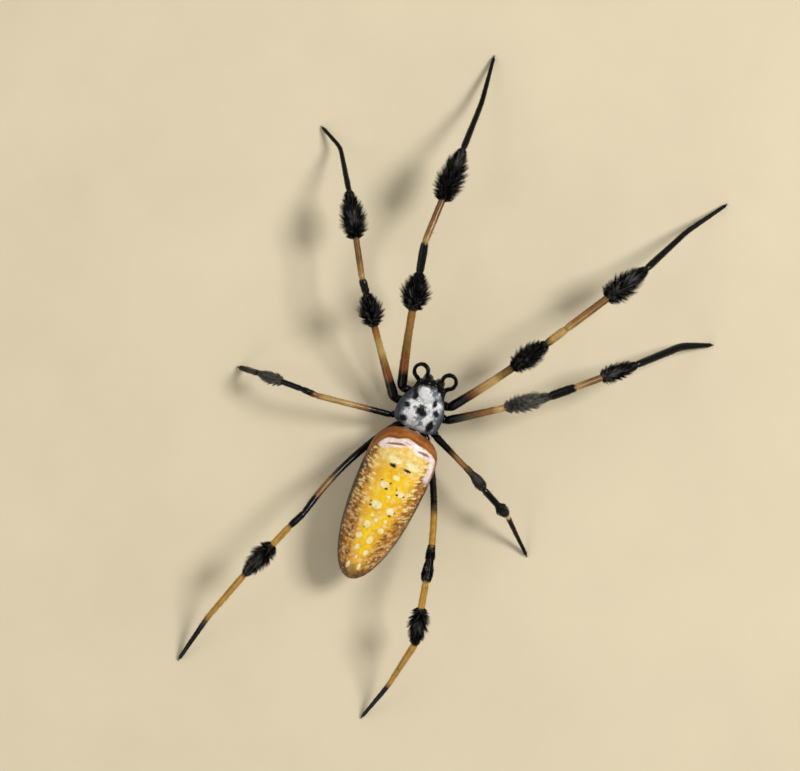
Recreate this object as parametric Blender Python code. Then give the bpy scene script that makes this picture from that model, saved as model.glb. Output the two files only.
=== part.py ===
"""Female golden silk orb-weaver, a still life-size model standing on its eight feet."""
import math

import bmesh
import bpy
import numpy as np

# All sizes below are in millimetres. The head faces -Y, the back +Z, the spider's left is +X.
MM = 0.001
GAP = 0.03
UP = np.array([0.0, 0.0, 1.0])

# Abdomen: a long blunt cylinder, deepest near its front third, drooping a little to the tail.
ABDOMEN_LENGTH = 22.5
ABDOMEN_HALF_WIDTH = 4.95
ABDOMEN_HALF_DEPTH = 4.3
ABDOMEN_WIDEST = 0.25
ABDOMEN_FRONT_Z = 7.5
ABDOMEN_TAIL_Z = 5.6
ABDOMEN_SIDE = -0.36
ABDOMEN_RINGS = 19
ABDOMEN_SIDES = 24

# Front body: a domed carapace over a sternum core.
CARAPACE_FRONT_Y = -7.6
CARAPACE_REAR_Y = -0.15
CARAPACE_HALF_WIDTH = 3.42
HEAD_HALF_WIDTH = 2.3
CARAPACE_BASE_Z = 4.95
THORAX_HEIGHT = 2.0
HEAD_HEIGHT = 2.75
RIM_HEIGHT = 0.22
GROOVE_DEPTH = 0.22
FOVEA_DEPTH = 0.35
STERNUM_FRONT_Y = -5.9
STERNUM_REAR_Y = -0.45
STERNUM_HALF_WIDTH = 1.26
STERNUM_BOTTOM_Z = 2.9
MAXILLA_LENGTH = 1.25
MAXILLA_RADIUS = 0.42

# Eyes: radius, sideways place, distance back from the front edge, named from the middle outward.
EYES = {
    "front_middle": {"radius": 0.19, "side": 0.36, "back": 0.16},
    "rear_middle": {"radius": 0.19, "side": 0.46, "back": 0.66},
    "front_side": {"radius": 0.16, "side": 1.50, "back": 0.42},
    "rear_side": {"radius": 0.16, "side": 1.72, "back": 0.84},
}
EYE_SUNK = 0.35

# Jaws and fangs.
JAW_SIDE = 0.80
JAW_TOP_Z = 4.80
JAW_BOTTOM_Z = 2.35
JAW_Y = -7.56
JAW_RADIUS = 0.76
FANG_LENGTH = 1.0
FANG_RADIUS = 0.23

# Palps: each curls forward into a near-level ring.
PALP_RADIUS = 0.27
PALP_RING = 1.0
PALP_CENTRES = {"left": (2.22, -8.05), "right": (-1.98, -8.22)}
PALP_ROOT_SIDE = 1.35
PALP_ROOT_Y = -6.35
PALP_ROOT_Z = 3.55
PALP_TOP_Z = 5.75

# Legs: place of the hip and of the far end of the coxa, then for femur, patella, tibia,
# metatarsus and tarsus the heading in degrees away from straight ahead on the leg's own
# side, the length seen from above, and the height of the far joint.
HIP_SIDE = {1: 1.27, 2: 1.40, 3: 1.40, 4: 1.12}
HIP_Y = {1: -4.95, 2: -3.55, 3: -2.15, 4: -0.85}
HIP_Z = 3.75
FOOT_Z = 0.0
LEGS = {
    "leg_1_left": {
        "coxa_end": (3.80, -4.90, 4.15),
        "heading": (15.5, 14.6, 2.1, 2.7, 9.4),
        "run": (16.1, 4.3, 14.2, 7.0, 6.7),
        "height": (10.2, 11.0, 8.2, 3.3),
    },
    "leg_1_right": {
        "coxa_end": (3.50, -5.00, 4.15),
        "heading": (32.1, 28.7, 28.8, 23.1, 31.7),
        "run": (16.2, 3.4, 14.1, 7.8, 6.7),
        "height": (10.2, 10.9, 8.0, 3.2),
    },
    "leg_2_left": {
        "coxa_end": (4.10, -3.05, 4.15),
        "heading": (39.4, 40.0, 33.0, 35.6, 66.0),
        "run": (15.1, 2.1, 12.6, 6.2, 3.8),
        "height": (9.7, 10.2, 7.4, 2.3),
    },
    "leg_2_right": {
        "coxa_end": (3.80, -3.15, 4.15),
        "heading": (52.4, 46.0, 45.4, 43.7, 62.8),
        "run": (14.8, 3.9, 9.1, 6.9, 4.3),
        "height": (9.6, 10.4, 7.8, 2.6),
    },
    "leg_3_left": {
        "coxa_end": (3.59, -0.75, 4.10),
        "heading": (99.9, 91.0, 94.3, 98.2, 97.1),
        "run": (10.7, 2.3, 6.4, 1.7, 1.2),
        "height": (7.4, 7.8, 4.6, 1.5),
    },
    "leg_3_right": {
        "coxa_end": (3.38, -0.56, 4.10),
        "heading": (111.5, 121.4, 113.8, 129.9, 129.2),
        "run": (8.1, 2.0, 4.9, 3.8, 2.4),
        "height": (7.1, 7.5, 5.2, 1.7),
    },
    "leg_4_left": {
        "coxa_end": (2.60, 0.70, 3.75),
        "heading": (158.4, 157.4, 161.2, 163.8, 169.9),
        "run": (17.2, 2.8, 9.4, 7.9, 7.1),
        "height": (9.3, 9.9, 8.2, 3.5),
    },
    "leg_4_right": {
        "coxa_end": (2.60, 0.60, 3.75),
        "heading": (155.0, 165.7, 165.6, 188.1, 195.1),
        "run": (17.4, 2.3, 8.8, 7.1, 5.6),
        "height": (9.2, 9.8, 8.0, 3.4),
    },
}

# Limb thickness, as radii: femur near its root and beyond, patella, tibia at its start and
# end, and foot at its start, at the ankle and at its tip. A brush is the outline of a dense
# tuft, as where it starts along the segment, where it ends, how far it reaches, and how
# far its fullest place leans to the start (1 is the middle, less is nearer the start).
LEG_RADII = {
    "leg_1_left": {
        "femur": (0.74, 0.56),
        "patella": 0.60,
        "tibia": (0.50, 0.50),
        "foot": (0.48, 0.37, 0.26),
    },
    "leg_1_right": {
        "femur": (0.70, 0.57),
        "patella": 0.58,
        "tibia": (0.55, 0.54),
        "foot": (0.52, 0.39, 0.28),
    },
    "leg_2_left": {
        "femur": (0.74, 0.50),
        "patella": 0.56,
        "tibia": (0.46, 0.45),
        "foot": (0.42, 0.31, 0.26),
    },
    "leg_2_right": {
        "femur": (0.64, 0.48),
        "patella": 0.64,
        "tibia": (0.50, 0.50),
        "foot": (0.54, 0.56, 0.32),
    },
    "leg_3_left": {
        "femur": (0.46, 0.42),
        "patella": 0.45,
        "tibia": (0.42, 0.42),
        "foot": (0.43, 0.44, 0.36),
    },
    "leg_3_right": {
        "femur": (0.54, 0.42),
        "patella": 0.60,
        "tibia": (0.48, 0.48),
        "foot": (0.38, 0.29, 0.26),
    },
    "leg_4_left": {
        "femur": (0.53, 0.46),
        "patella": 0.48,
        "tibia": (0.47, 0.48),
        "foot": (0.48, 0.40, 0.29),
    },
    "leg_4_right": {
        "femur": (0.50, 0.48),
        "patella": 0.68,
        "tibia": (0.50, 0.50),
        "foot": (0.52, 0.36, 0.26),
    },
}
BRUSHES = {
    "leg_1_left": {"femur": (0.68, 0.985, 2.05, 0.95), "tibia": (0.44, 0.985, 1.95, 0.75)},
    "leg_1_right": {"femur": (0.65, 0.985, 1.65, 0.95), "tibia": (0.50, 0.985, 1.80, 0.65)},
    "leg_2_left": {"femur": (0.70, 0.985, 1.75, 0.95), "tibia": (0.45, 0.985, 1.80, 0.75)},
    "leg_2_right": {"femur": (0.58, 0.985, 1.25, 0.90), "tibia": (0.42, 0.985, 1.25, 0.65)},
    "leg_3_left": {"tibia": (0.45, 0.985, 0.95, 0.95)},
    "leg_3_right": {"femur": (0.78, 0.985, 0.72, 1.0), "tibia": (0.62, 0.985, 0.80, 1.0)},
    "leg_4_left": {"tibia": (0.36, 0.970, 1.50, 0.80)},
    "leg_4_right": {"femur": (0.83, 0.985, 0.72, 1.0), "tibia": (0.40, 0.985, 1.40, 0.80)},
}
FEMUR_BOW = {1: (0.2, 0.45), 2: (0.1, 0.45), 3: (0.0, 0.4), 4: (0.85, -0.35)}
COXA_RADIUS = 0.66
LEG_SIDES = 10
FOOT_SIDES = 8

# Spinnerets: a low mound under the tail with two pairs of cones.
SPINNERET_Y = 19.2
SPINNERET_TOP_Z = 4.2
SPINNERET_DROP = 2.3
SPINNERET_RADIUS = 1.15
CONE_RADIUS = 0.42

MATERIALS = {
    "abdomen_gold": ((0.76, 0.48, 0.08, 1.0), 0.45),
    "carapace_silver": ((0.52, 0.52, 0.50, 1.0), 0.6),
    "underside_brown": ((0.10, 0.06, 0.035, 1.0), 0.5),
    "leg_gold": ((0.56, 0.30, 0.06, 1.0), 0.4),
    "leg_black": ((0.02, 0.018, 0.016, 1.0), 0.35),
    "jaw_black": ((0.015, 0.013, 0.012, 1.0), 0.2),
    "eye_black": ((0.006, 0.006, 0.007, 1.0), 0.08),
    "spinneret_brown": ((0.16, 0.08, 0.035, 1.0), 0.55),
}


def clear_scene():
    for item in list(bpy.data.objects):
        bpy.data.objects.remove(item, do_unlink=True)


def make_material(name):
    colour, roughness = MATERIALS[name]
    material = bpy.data.materials.new(name)
    material.use_nodes = True
    shader = material.node_tree.nodes["Principled BSDF"]
    shader.inputs["Base Color"].default_value = colour
    shader.inputs["Roughness"].default_value = roughness
    return material


def unit(vector):
    return vector / np.linalg.norm(vector)


def add_mesh(name, points, faces, slot):
    """A closed smooth-shaded object from points in millimetres."""
    mesh = bpy.data.meshes.new(name)
    mesh.from_pydata((np.asarray(points) * MM).tolist(), [], faces)
    mesh.validate()
    body = bmesh.new()
    body.from_mesh(mesh)
    bmesh.ops.recalc_face_normals(body, faces=body.faces)
    body.to_mesh(mesh)
    body.free()
    item = bpy.data.objects.new(name, mesh)
    bpy.context.collection.objects.link(item)
    item.data.materials.append(bpy.data.materials[slot])
    for polygon in mesh.polygons:
        polygon.use_smooth = True
    mesh.set_sharp_from_angle(angle=math.radians(50))
    return item


def loft(name, rings, slot, start_pole=None, end_pole=None):
    """Joins rings of equal count into one closed surface with flat or pointed ends."""
    rings = np.asarray(rings)
    count, sides = rings.shape[:2]
    points = rings.reshape(-1, 3).tolist()
    faces = []
    for row in range(count - 1):
        for step in range(sides):
            after = (step + 1) % sides
            low = row * sides
            high = low + sides
            faces.append((low + step, low + after, high + after, high + step))
    last = (count - 1) * sides
    if start_pole is None:
        faces.append(tuple(range(sides)))
    else:
        points.append(list(start_pole))
        pole = len(points) - 1
        faces.extend(((step + 1) % sides, step, pole) for step in range(sides))
    if end_pole is None:
        faces.append(tuple(range(last, last + sides)))
    else:
        points.append(list(end_pole))
        pole = len(points) - 1
        faces.extend((last + step, last + (step + 1) % sides, pole) for step in range(sides))
    return add_mesh(name, points, faces, slot)


def cut(item, cutter):
    """Takes the cutter's shape out of the item and applies the result."""
    cutter.hide_render = True
    cutter.display_type = "WIRE"
    change = item.modifiers.new("cut", "BOOLEAN")
    change.operation = "DIFFERENCE"
    change.solver = "EXACT"
    change.object = cutter
    apply_modifiers(item)
    bpy.data.objects.remove(cutter, do_unlink=True)


def join(item, other):
    """Unites another solid with the item and applies the result."""
    change = item.modifiers.new("join", "BOOLEAN")
    change.operation = "UNION"
    change.solver = "EXACT"
    change.object = other
    apply_modifiers(item)
    bpy.data.objects.remove(other, do_unlink=True)


def apply_modifiers(item):
    graph = bpy.context.evaluated_depsgraph_get()
    mesh = bpy.data.meshes.new_from_object(item.evaluated_get(graph))
    item.modifiers.clear()
    item.data = mesh


def circle(sides):
    return np.linspace(0.0, 2.0 * math.pi, sides, endpoint=False)


def abdomen_swell(share):
    """How full the abdomen is at a share of its length, 1 at its widest place."""
    front = np.clip((ABDOMEN_WIDEST - share) / ABDOMEN_WIDEST, 0.0, 1.0)
    rear = np.clip((share - ABDOMEN_WIDEST) / (1.0 - ABDOMEN_WIDEST), 0.0, 1.0)
    return np.where(share < ABDOMEN_WIDEST, (1 - front**3.4) ** 0.43, (1 - rear**2.3) ** 0.50)


def abdomen_centre(share):
    along = share * ABDOMEN_LENGTH
    droop = ABDOMEN_FRONT_Z + (ABDOMEN_TAIL_Z - ABDOMEN_FRONT_Z) * share**1.5
    return np.array([ABDOMEN_SIDE, along, droop])


def build_abdomen(name, extra=0.0):
    """Rings round the axis, flatter below than above, with a blunt front."""
    turn = circle(ABDOMEN_SIDES)
    rings = []
    for share in 0.5 - 0.5 * np.cos(np.linspace(0.09, 0.965, ABDOMEN_RINGS) * math.pi):
        swell = float(abdomen_swell(share))
        wide = ABDOMEN_HALF_WIDTH * swell + extra
        deep = ABDOMEN_HALF_DEPTH * swell * (1 - 0.10 * share) + extra
        lift = np.where(np.sin(turn) < 0, 0.92, 1.0)
        ring = abdomen_centre(share) + np.stack(
            [wide * np.cos(turn), np.zeros_like(turn), deep * lift * np.sin(turn)], 1
        )
        rings.append(ring)
    start = abdomen_centre(0.0) - np.array([0.0, extra, 0.0])
    end = abdomen_centre(1.0) + np.array([0.0, extra, 0.0])
    return loft(name, rings, "abdomen_gold", start, end)


def carapace_width(y):
    """Half width of the carapace: full behind the middle, narrow at the head."""
    share = (y - CARAPACE_FRONT_Y) / (CARAPACE_REAR_Y - CARAPACE_FRONT_Y)
    head = HEAD_HALF_WIDTH * (1 - (1 - np.clip(share / 0.16, 0, 1)) ** 2.4) ** 0.5
    swell = 0.5 - 0.5 * math.cos(math.pi * min(max((share - 0.16) / 0.46, 0.0), 1.0))
    rear = (1 - max((share - 0.62) / 0.38, 0.0) ** 5.0) ** 0.35
    return head + (CARAPACE_HALF_WIDTH * rear - head) * swell


def carapace_height(x, y):
    """Top of the carapace above its base: high head, lower thorax, grooves between."""
    share = (y - CARAPACE_FRONT_Y) / (CARAPACE_REAR_Y - CARAPACE_FRONT_Y)
    back = 0.5 - 0.5 * math.cos(math.pi * min(max((share - 0.22) / 0.30, 0.0), 1.0))
    crown = HEAD_HEIGHT + (THORAX_HEIGHT - HEAD_HEIGHT) * back
    brow = (1 - (1 - min(share / 0.15, 1.0)) ** 2.0) ** 0.5
    fall = (1 - max((share - 0.62) / 0.38, 0.0) ** 2.2) ** 0.6
    across = min(abs(x) / max(carapace_width(y), 1e-6), 1.0)
    dome = (1 - across**2.3) ** 0.62
    groove = GROOVE_DEPTH * math.exp(-(((share - 0.50 + 0.085 * abs(x)) / 0.045) ** 2))
    fovea = FOVEA_DEPTH * math.exp(-((x / 0.45) ** 2) - ((share - 0.66) / 0.06) ** 2)
    top = crown * (0.35 + 0.65 * brow) * fall * dome
    return RIM_HEIGHT + max(top - (groove + fovea) * dome, 0.0)


def build_carapace(rows=18, across=13):
    """Arches from side to side, each closed by a flat underside."""
    rings = []
    for share in 0.5 - 0.5 * np.cos(np.linspace(0.07, 0.955, rows) * math.pi):
        y = CARAPACE_FRONT_Y + share * (CARAPACE_REAR_Y - CARAPACE_FRONT_Y)
        wide = float(carapace_width(y))
        arch = wide * np.cos(np.linspace(0.0, math.pi, across))
        top = [(x, y, CARAPACE_BASE_Z + carapace_height(x, y)) for x in arch]
        under = [(x, y, CARAPACE_BASE_Z) for x in arch[::-1]]
        rings.append(top + under)
    return loft("carapace", rings, "carapace_silver")


def build_eyes(carapace):
    """Eight small globes, each seated in a socket of the carapace."""
    for eye, place in EYES.items():
        for side, sign in (("left", 1.0), ("right", -1.0)):
            y = CARAPACE_FRONT_Y + place["back"]
            x = sign * place["side"]
            radius = place["radius"]
            z = CARAPACE_BASE_Z + carapace_height(x, y)
            centre = np.array([x, y, z - radius * EYE_SUNK])
            cut(carapace, build_globe("socket", centre, radius + GAP * 0.6, "eye_black"))
            build_globe(f"eye_{eye}_{side}", centre, radius, "eye_black")


def build_globe(name, centre, radius, slot, sides=8, rows=4):
    turn = circle(sides)
    rings = []
    for tilt in np.linspace(-math.pi / 2, math.pi / 2, rows + 2)[1:-1]:
        flat = radius * math.cos(tilt)
        high = np.full(sides, radius * math.sin(tilt))
        rings.append(centre + np.stack([flat * np.cos(turn), flat * np.sin(turn), high], 1))
    return loft(name, rings, slot, centre - UP * radius, centre + UP * radius)


def tube(name, path, radii, slot, sides=8, pointed=False):
    """A limb along a curved path, its rings square to the path."""
    path = np.asarray(path, dtype=float)
    ways = np.gradient(path, axis=0)
    turn = circle(sides)
    side = unit(np.cross(ways[0], UP + np.array([0.01, 0.02, 0.0])))
    rings = []
    for centre, way, radius in zip(path, ways, radii):
        way = unit(way)
        side = unit(side - way * np.dot(side, way))
        top = np.cross(side, way)
        rings.append(centre + radius * (np.outer(np.cos(turn), side) + np.outer(np.sin(turn), top)))
    tip = path[-1] + unit(ways[-1]) * radii[-1] * 0.8 if pointed else None
    return loft(name, rings, slot, None, tip)


def build_sternum():
    """The core under the carapace, with the shield below and the mouthparts in front."""
    turn = circle(16)
    rings = []
    depth = CARAPACE_BASE_Z - GAP - STERNUM_BOTTOM_Z
    for share in np.linspace(0.03, 0.97, 9):
        y = STERNUM_FRONT_Y + share * (STERNUM_REAR_Y - STERNUM_FRONT_Y)
        wide = STERNUM_HALF_WIDTH * (1 - abs(2 * share - 1) ** 2.6) ** 0.5 * (1.05 - 0.25 * share)
        bend = np.sign(np.sin(turn)) * np.abs(np.sin(turn)) ** 0.7
        z = CARAPACE_BASE_Z - GAP - depth * (0.5 - 0.5 * bend)
        rings.append(np.stack([wide * np.cos(turn), np.full(16, y), z], 1))
    core = loft("sternum", rings, "underside_brown")
    for sign in (1.0, -1.0):
        start = np.array([sign * 0.50, STERNUM_FRONT_Y + 0.5, STERNUM_BOTTOM_Z + 0.75])
        end = start + np.array([0.0, -MAXILLA_LENGTH, -0.15])
        path = [start + (end - start) * share for share in (0.0, 0.35, 0.7, 0.92)]
        radii = [MAXILLA_RADIUS * size for size in (0.85, 1.0, 0.95, 0.6)]
        lobe = tube("maxilla", path, radii, "underside_brown", 10, True)
        join(core, lobe)
    return core


def build_jaw(side, sign):
    """A stout jaw bulging forward below the eyes, with a curved fang folded at its foot."""
    share = np.linspace(0.0, 1.0, 8)
    x = sign * (JAW_SIDE + 0.07 * np.sin(math.pi * share))
    y = JAW_Y + 0.30 * (1 - share) ** 2 + 0.15 * share**2
    z = JAW_TOP_Z + (JAW_BOTTOM_Z - JAW_TOP_Z) * share
    radii = JAW_RADIUS * (0.62 + 0.42 * np.sin(math.pi * (0.12 + 0.72 * share)) - 0.10 * share**3)
    tube(f"jaw_{side}", np.stack([x, y, z], 1), radii, "jaw_black", 12)
    arc = np.linspace(0.0, 1.0, 6)
    fang_x = sign * (JAW_SIDE + 0.22 - 0.72 * FANG_LENGTH * arc)
    fang_y = JAW_Y + 0.05 + 0.55 * FANG_LENGTH * arc**1.5
    fang_z = JAW_BOTTOM_Z - GAP - FANG_RADIUS - 0.30 * FANG_LENGTH * np.sin(math.pi * arc * 0.6)
    fang = FANG_RADIUS * (1.0 - 0.62 * arc**1.5)
    tube(f"fang_{side}", np.stack([fang_x, fang_y, fang_z], 1), fang, "jaw_black", 8, True)


def build_palp(side, sign):
    """Out from beside the mouth, then round in a ring ahead of the head."""
    cx, cy = PALP_CENTRES[side]
    root = np.array([sign * PALP_ROOT_SIDE, PALP_ROOT_Y, PALP_ROOT_Z])
    rise = np.array([sign * 1.98, -6.80, 4.25])
    sweep = np.radians(np.linspace(78, -205, 13))
    share = np.linspace(0.0, 1.0, 13)
    ring_x = cx + sign * PALP_RING * np.cos(sweep)
    ring_y = cy + PALP_RING * np.sin(sweep)
    ring_z = 4.75 + (PALP_TOP_Z - 4.75) * np.sin(share * math.pi * 0.62)
    ring = np.stack([ring_x, ring_y, ring_z], 1)
    path = np.vstack([root, rise, ring])
    size = np.concatenate([[1.15, 1.05], 1.0 + 0.12 * np.cos(share * math.pi * 3.0)])
    tube(f"palp_{side}", path, PALP_RADIUS * size, "leg_black", 8, True)


def leg_joints(name):
    """The seven joints of a leg, from the hip to the tip of its foot."""
    leg = LEGS[name]
    pair = int(name[4])
    sign = 1.0 if name.endswith("left") else -1.0
    mirror = np.array([sign, 1.0, 1.0])
    joints = [mirror * np.array([HIP_SIDE[pair], HIP_Y[pair], HIP_Z]), mirror * np.array(leg["coxa_end"])]
    for heading, run, height in zip(leg["heading"], leg["run"], leg["height"] + (FOOT_Z,)):
        turn = math.radians(heading)
        step = np.array([sign * math.sin(turn) * run, -math.cos(turn) * run, 0.0])
        place = joints[-1] + step
        place[2] = height
        joints.append(place)
    return joints


def segment_rings(joints, index, stations, sides, bow=(0.0, 0.0), close=(True, True)):
    """Rings of one leg segment, its end rings mitred to the neighbouring segments."""
    ways = [unit(b - a) for a, b in zip(joints, joints[1:])]
    start, end, way = joints[index], joints[index + 1], ways[index]
    first = way if index == 0 else unit(ways[index - 1] + way)
    last = -UP if index == len(ways) - 1 else unit(way + ways[index + 1])
    side = unit(np.cross(way, UP))
    top = np.cross(side, way)
    turn = circle(sides)
    outward = side * (1.0 if start[0] * side[0] > 0 else -1.0)
    rings = []
    for share, radius in stations:
        bend = (outward * bow[0] + top * bow[1]) * 4 * share * (1 - share)
        centre = start + (end - start) * share + bend
        ring = centre + radius * (np.outer(np.cos(turn), side) + np.outer(np.sin(turn), top))
        if share in (0.0, 1.0):
            normal = first if share == 0.0 else last
            joint = start if share == 0.0 else end
            room = GAP / 2 if close[int(share)] and not (share == 1.0 and index == len(ways) - 1) else 0.0
            seat = joint + way * (room if share == 0.0 else -room)
            ring = ring - np.outer((ring - seat) @ normal / (way @ normal), way)
        rings.append(ring)
    return rings


def limb_stations(thick, thin, brush):
    """Radii along a femur or tibia, with the outline of its brush where it has one."""
    stations = [(0.0, thick * 0.86), (0.05, thick), (0.25, (thick + thin) / 2)]
    if brush is None:
        return stations + [(0.55, thin), (0.88, thin * 1.08), (1.0, thin * 0.92)]
    begin, finish, reach, lean = brush
    stations += [(0.5 * (0.25 + begin), thin), (begin, thin)]
    for share in (0.10, 0.32, 0.58, 0.84):
        swell = math.sin(math.pi * share**lean) ** 0.6
        stations.append((begin + (finish - begin) * share, thin + (reach - thin) * swell))
    return stations + [(1.0, thin * 0.95)]


def build_leg(name):
    joints = leg_joints(name)
    radii = LEG_RADII[name]
    brushes = BRUSHES[name]
    coxa = [(0.0, 0.86), (0.20, 1.0), (0.52, 0.94), (1.0, 0.90)]
    scale = min(COXA_RADIUS, radii["femur"][0] * 1.15)
    rings = segment_rings(joints, 0, [(share, size * scale) for share, size in coxa], FOOT_SIDES)
    loft(f"{name}_coxa", rings, "leg_black")
    stations = limb_stations(*radii["femur"], brushes.get("femur"))
    bow = FEMUR_BOW[int(name[4])]
    loft(f"{name}_femur", segment_rings(joints, 1, stations, LEG_SIDES, bow), "leg_gold")
    knee = [(0.0, 0.90), (0.22, 1.0), (0.7, 1.04), (1.0, 0.84)]
    stations = [(share, size * radii["patella"]) for share, size in knee]
    loft(f"{name}_patella", segment_rings(joints, 2, stations, FOOT_SIDES), "leg_black")
    stations = limb_stations(*radii["tibia"], brushes.get("tibia"))
    loft(f"{name}_tibia", segment_rings(joints, 3, stations, LEG_SIDES), "leg_gold")
    thick, middle, thin = radii["foot"]
    upper = [(0.0, thick * 0.85), (0.12, thick), (0.5, (thick + middle) / 2), (1.0, middle)]
    lower = [(0.12, middle * 0.96), (0.5, (middle + thin) / 2), (0.85, thin), (1.0, thin * 0.95)]
    rings = segment_rings(joints, 4, upper, FOOT_SIDES, (0.0, 0.0), (True, False))
    rings += segment_rings(joints, 5, lower, FOOT_SIDES)
    loft(f"{name}_foot", rings, "leg_black")


def build_pedicel():
    """The narrow waist between the front body and the abdomen."""
    share = np.linspace(0.0, 1.0, 5)
    path = np.stack([0.0 * share, -0.48 + 1.87 * share, 4.30 + 0.75 * share**2], 1)
    waist = tube("pedicel", path, 0.46 + 0.14 * (2 * share - 1) ** 2, "underside_brown", 12)
    cut(waist, build_abdomen("waist_room", GAP))


def build_spinnerets():
    """A mound under the tail carrying two pairs of cones."""
    turn = circle(14)
    rings = []
    for share, size in ((0.0, 1.0), (0.45, 0.98), (0.68, 0.8)):
        z = SPINNERET_TOP_Z - SPINNERET_DROP * share
        flat = size * SPINNERET_RADIUS
        x = ABDOMEN_SIDE + flat * np.cos(turn)
        y = SPINNERET_Y + flat * np.sin(turn)
        rings.append(np.stack([x, y, np.full(14, z)], 1))
    mound = loft("spinnerets", rings, "spinneret_brown")
    for sign in (1.0, -1.0):
        for row, lean in ((-0.42, -0.25), (0.46, 0.35)):
            x = ABDOMEN_SIDE + sign * 0.46
            start = np.array([x, SPINNERET_Y + row, SPINNERET_TOP_Z - SPINNERET_DROP * 0.5])
            end = start + np.array([-sign * 0.05, lean, -SPINNERET_DROP * 0.42])
            path = [start + (end - start) * share for share in (0.0, 0.5, 0.95)]
            radii = [CONE_RADIUS, CONE_RADIUS * 0.9, CONE_RADIUS * 0.5]
            cone = tube("cone", path, radii, "spinneret_brown", 8, True)
            join(mound, cone)
    cut(mound, build_abdomen("tail_room", GAP))


def settle():
    """Moves every piece so that the model stands centred on the origin."""
    items = [item for item in bpy.data.objects if item.type == "MESH"]
    low = np.full(3, np.inf)
    high = np.full(3, -np.inf)
    for item in items:
        points = np.empty(len(item.data.vertices) * 3)
        item.data.vertices.foreach_get("co", points)
        points = points.reshape(-1, 3)
        low = np.minimum(low, points.min(0))
        high = np.maximum(high, points.max(0))
    centre = (low + high) / 2
    for item in items:
        points = np.empty(len(item.data.vertices) * 3)
        item.data.vertices.foreach_get("co", points)
        points = points.reshape(-1, 3) - np.array([centre[0], centre[1], 0.0])
        item.data.vertices.foreach_set("co", points.ravel())
        item.data.update()
    print("centre moved by", centre, "size", high - low)


def main():
    clear_scene()
    for name in MATERIALS:
        make_material(name)
    build_abdomen("abdomen")
    carapace = build_carapace()
    build_eyes(carapace)
    build_sternum()
    build_pedicel()
    build_spinnerets()
    for side, sign in (("left", 1.0), ("right", -1.0)):
        build_jaw(side, sign)
        build_palp(side, sign)
    for name in LEGS:
        build_leg(name)
    settle()


main()
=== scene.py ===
import math

import bpy
import numpy as np
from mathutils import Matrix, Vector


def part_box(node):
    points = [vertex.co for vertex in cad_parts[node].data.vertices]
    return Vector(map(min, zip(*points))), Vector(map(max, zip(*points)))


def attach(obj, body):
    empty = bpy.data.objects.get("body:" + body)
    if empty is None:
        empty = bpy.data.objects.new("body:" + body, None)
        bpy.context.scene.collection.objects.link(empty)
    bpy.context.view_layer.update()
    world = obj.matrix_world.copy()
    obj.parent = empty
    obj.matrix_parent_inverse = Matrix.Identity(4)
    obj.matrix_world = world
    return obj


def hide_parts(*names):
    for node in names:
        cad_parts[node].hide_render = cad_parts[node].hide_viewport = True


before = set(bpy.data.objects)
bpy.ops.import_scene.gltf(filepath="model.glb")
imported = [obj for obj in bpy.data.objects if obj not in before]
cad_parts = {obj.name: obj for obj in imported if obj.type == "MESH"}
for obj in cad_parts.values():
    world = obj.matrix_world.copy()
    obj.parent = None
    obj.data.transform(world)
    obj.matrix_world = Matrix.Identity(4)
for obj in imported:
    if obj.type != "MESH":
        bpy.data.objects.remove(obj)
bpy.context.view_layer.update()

mm = 0.001  # every length below is in millimetres
fullTurn = 2 * math.pi
upward = (0.0, 0.0, 1.0)
shellAhead = 7.5102  # the front of the carapace lies this far ahead of the waist
shellBox = np.array(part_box("carapace")) / mm
seat = np.array([shellBox[:, 0].mean(), shellBox[0, 1] + shellAhead, 0.0])  # the waist's place on the floor


# small helpers
def paint(red, green, blue):
    # screen colour 0-255 turned to linear light: below a small step a straight line, above it a power of 2.4
    share = np.array([red, green, blue]) / 255.0
    return np.where(share <= 0.04045, share / 12.92, ((share + 0.055) / 1.055) ** 2.4)


def smooth(low, high, value):
    # the s-shaped step 3t*t - 2t*t*t as value goes from low to high
    share = np.clip((value - low) / (high - low), 0.0, 1.0)
    return share * share * (3.0 - 2.0 * share)


def bell(value, width):
    # one at zero, falling off as exp(-(value / width)^2)
    return np.exp(-((value / width) ** 2))


def blendTo(colour, other, amount):
    # colour moved towards other by amount, row by row
    return colour + (other - colour) * np.asarray(amount)[..., None]


def washes(colour, *layers):
    # coats of paint one over another, each a screen colour and how strongly it covers
    for tone, amount in layers:
        colour = blendTo(colour, paint(*tone), amount)
    return colour


def unit(rows):
    # rows scaled to a length of one
    return rows / np.maximum(np.linalg.norm(rows, axis=-1, keepdims=True), 1e-9)


def readAlong(at, stops, rows):
    # rows of three numbers read off between their stops
    return np.stack([np.interp(at, stops, column) for column in rows.T], 1)


def circle(count):
    # angles evenly round a full turn
    return np.linspace(0, fullTurn, count, endpoint=False)


def hashed(cells, seed):
    # a steady pseudo-random number 0-1 for each whole-number cell
    mixed = cells.astype(np.int64) @ np.array([73856093, 19349663, 83492791]) + seed * 2654435
    mixed = (mixed ^ (mixed >> 13)) * 1274126177
    mixed = (mixed ^ (mixed >> 16)) & 0xFFFFFF
    return mixed / float(0xFFFFFF)


def cloud(points, size, seed):
    # value noise: random numbers on a lattice of the given size, joined by s-shaped steps
    spots = points / size
    base = np.floor(spots)
    part = spots - base
    part = part * part * (3.0 - 2.0 * part)
    total = np.zeros(len(points))
    for corner in np.ndindex(2, 2, 2):
        weight = np.prod(np.where(np.array(corner) == 1, part, 1.0 - part), axis=1)
        total += weight * hashed(base + corner, seed)
    return total


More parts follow.
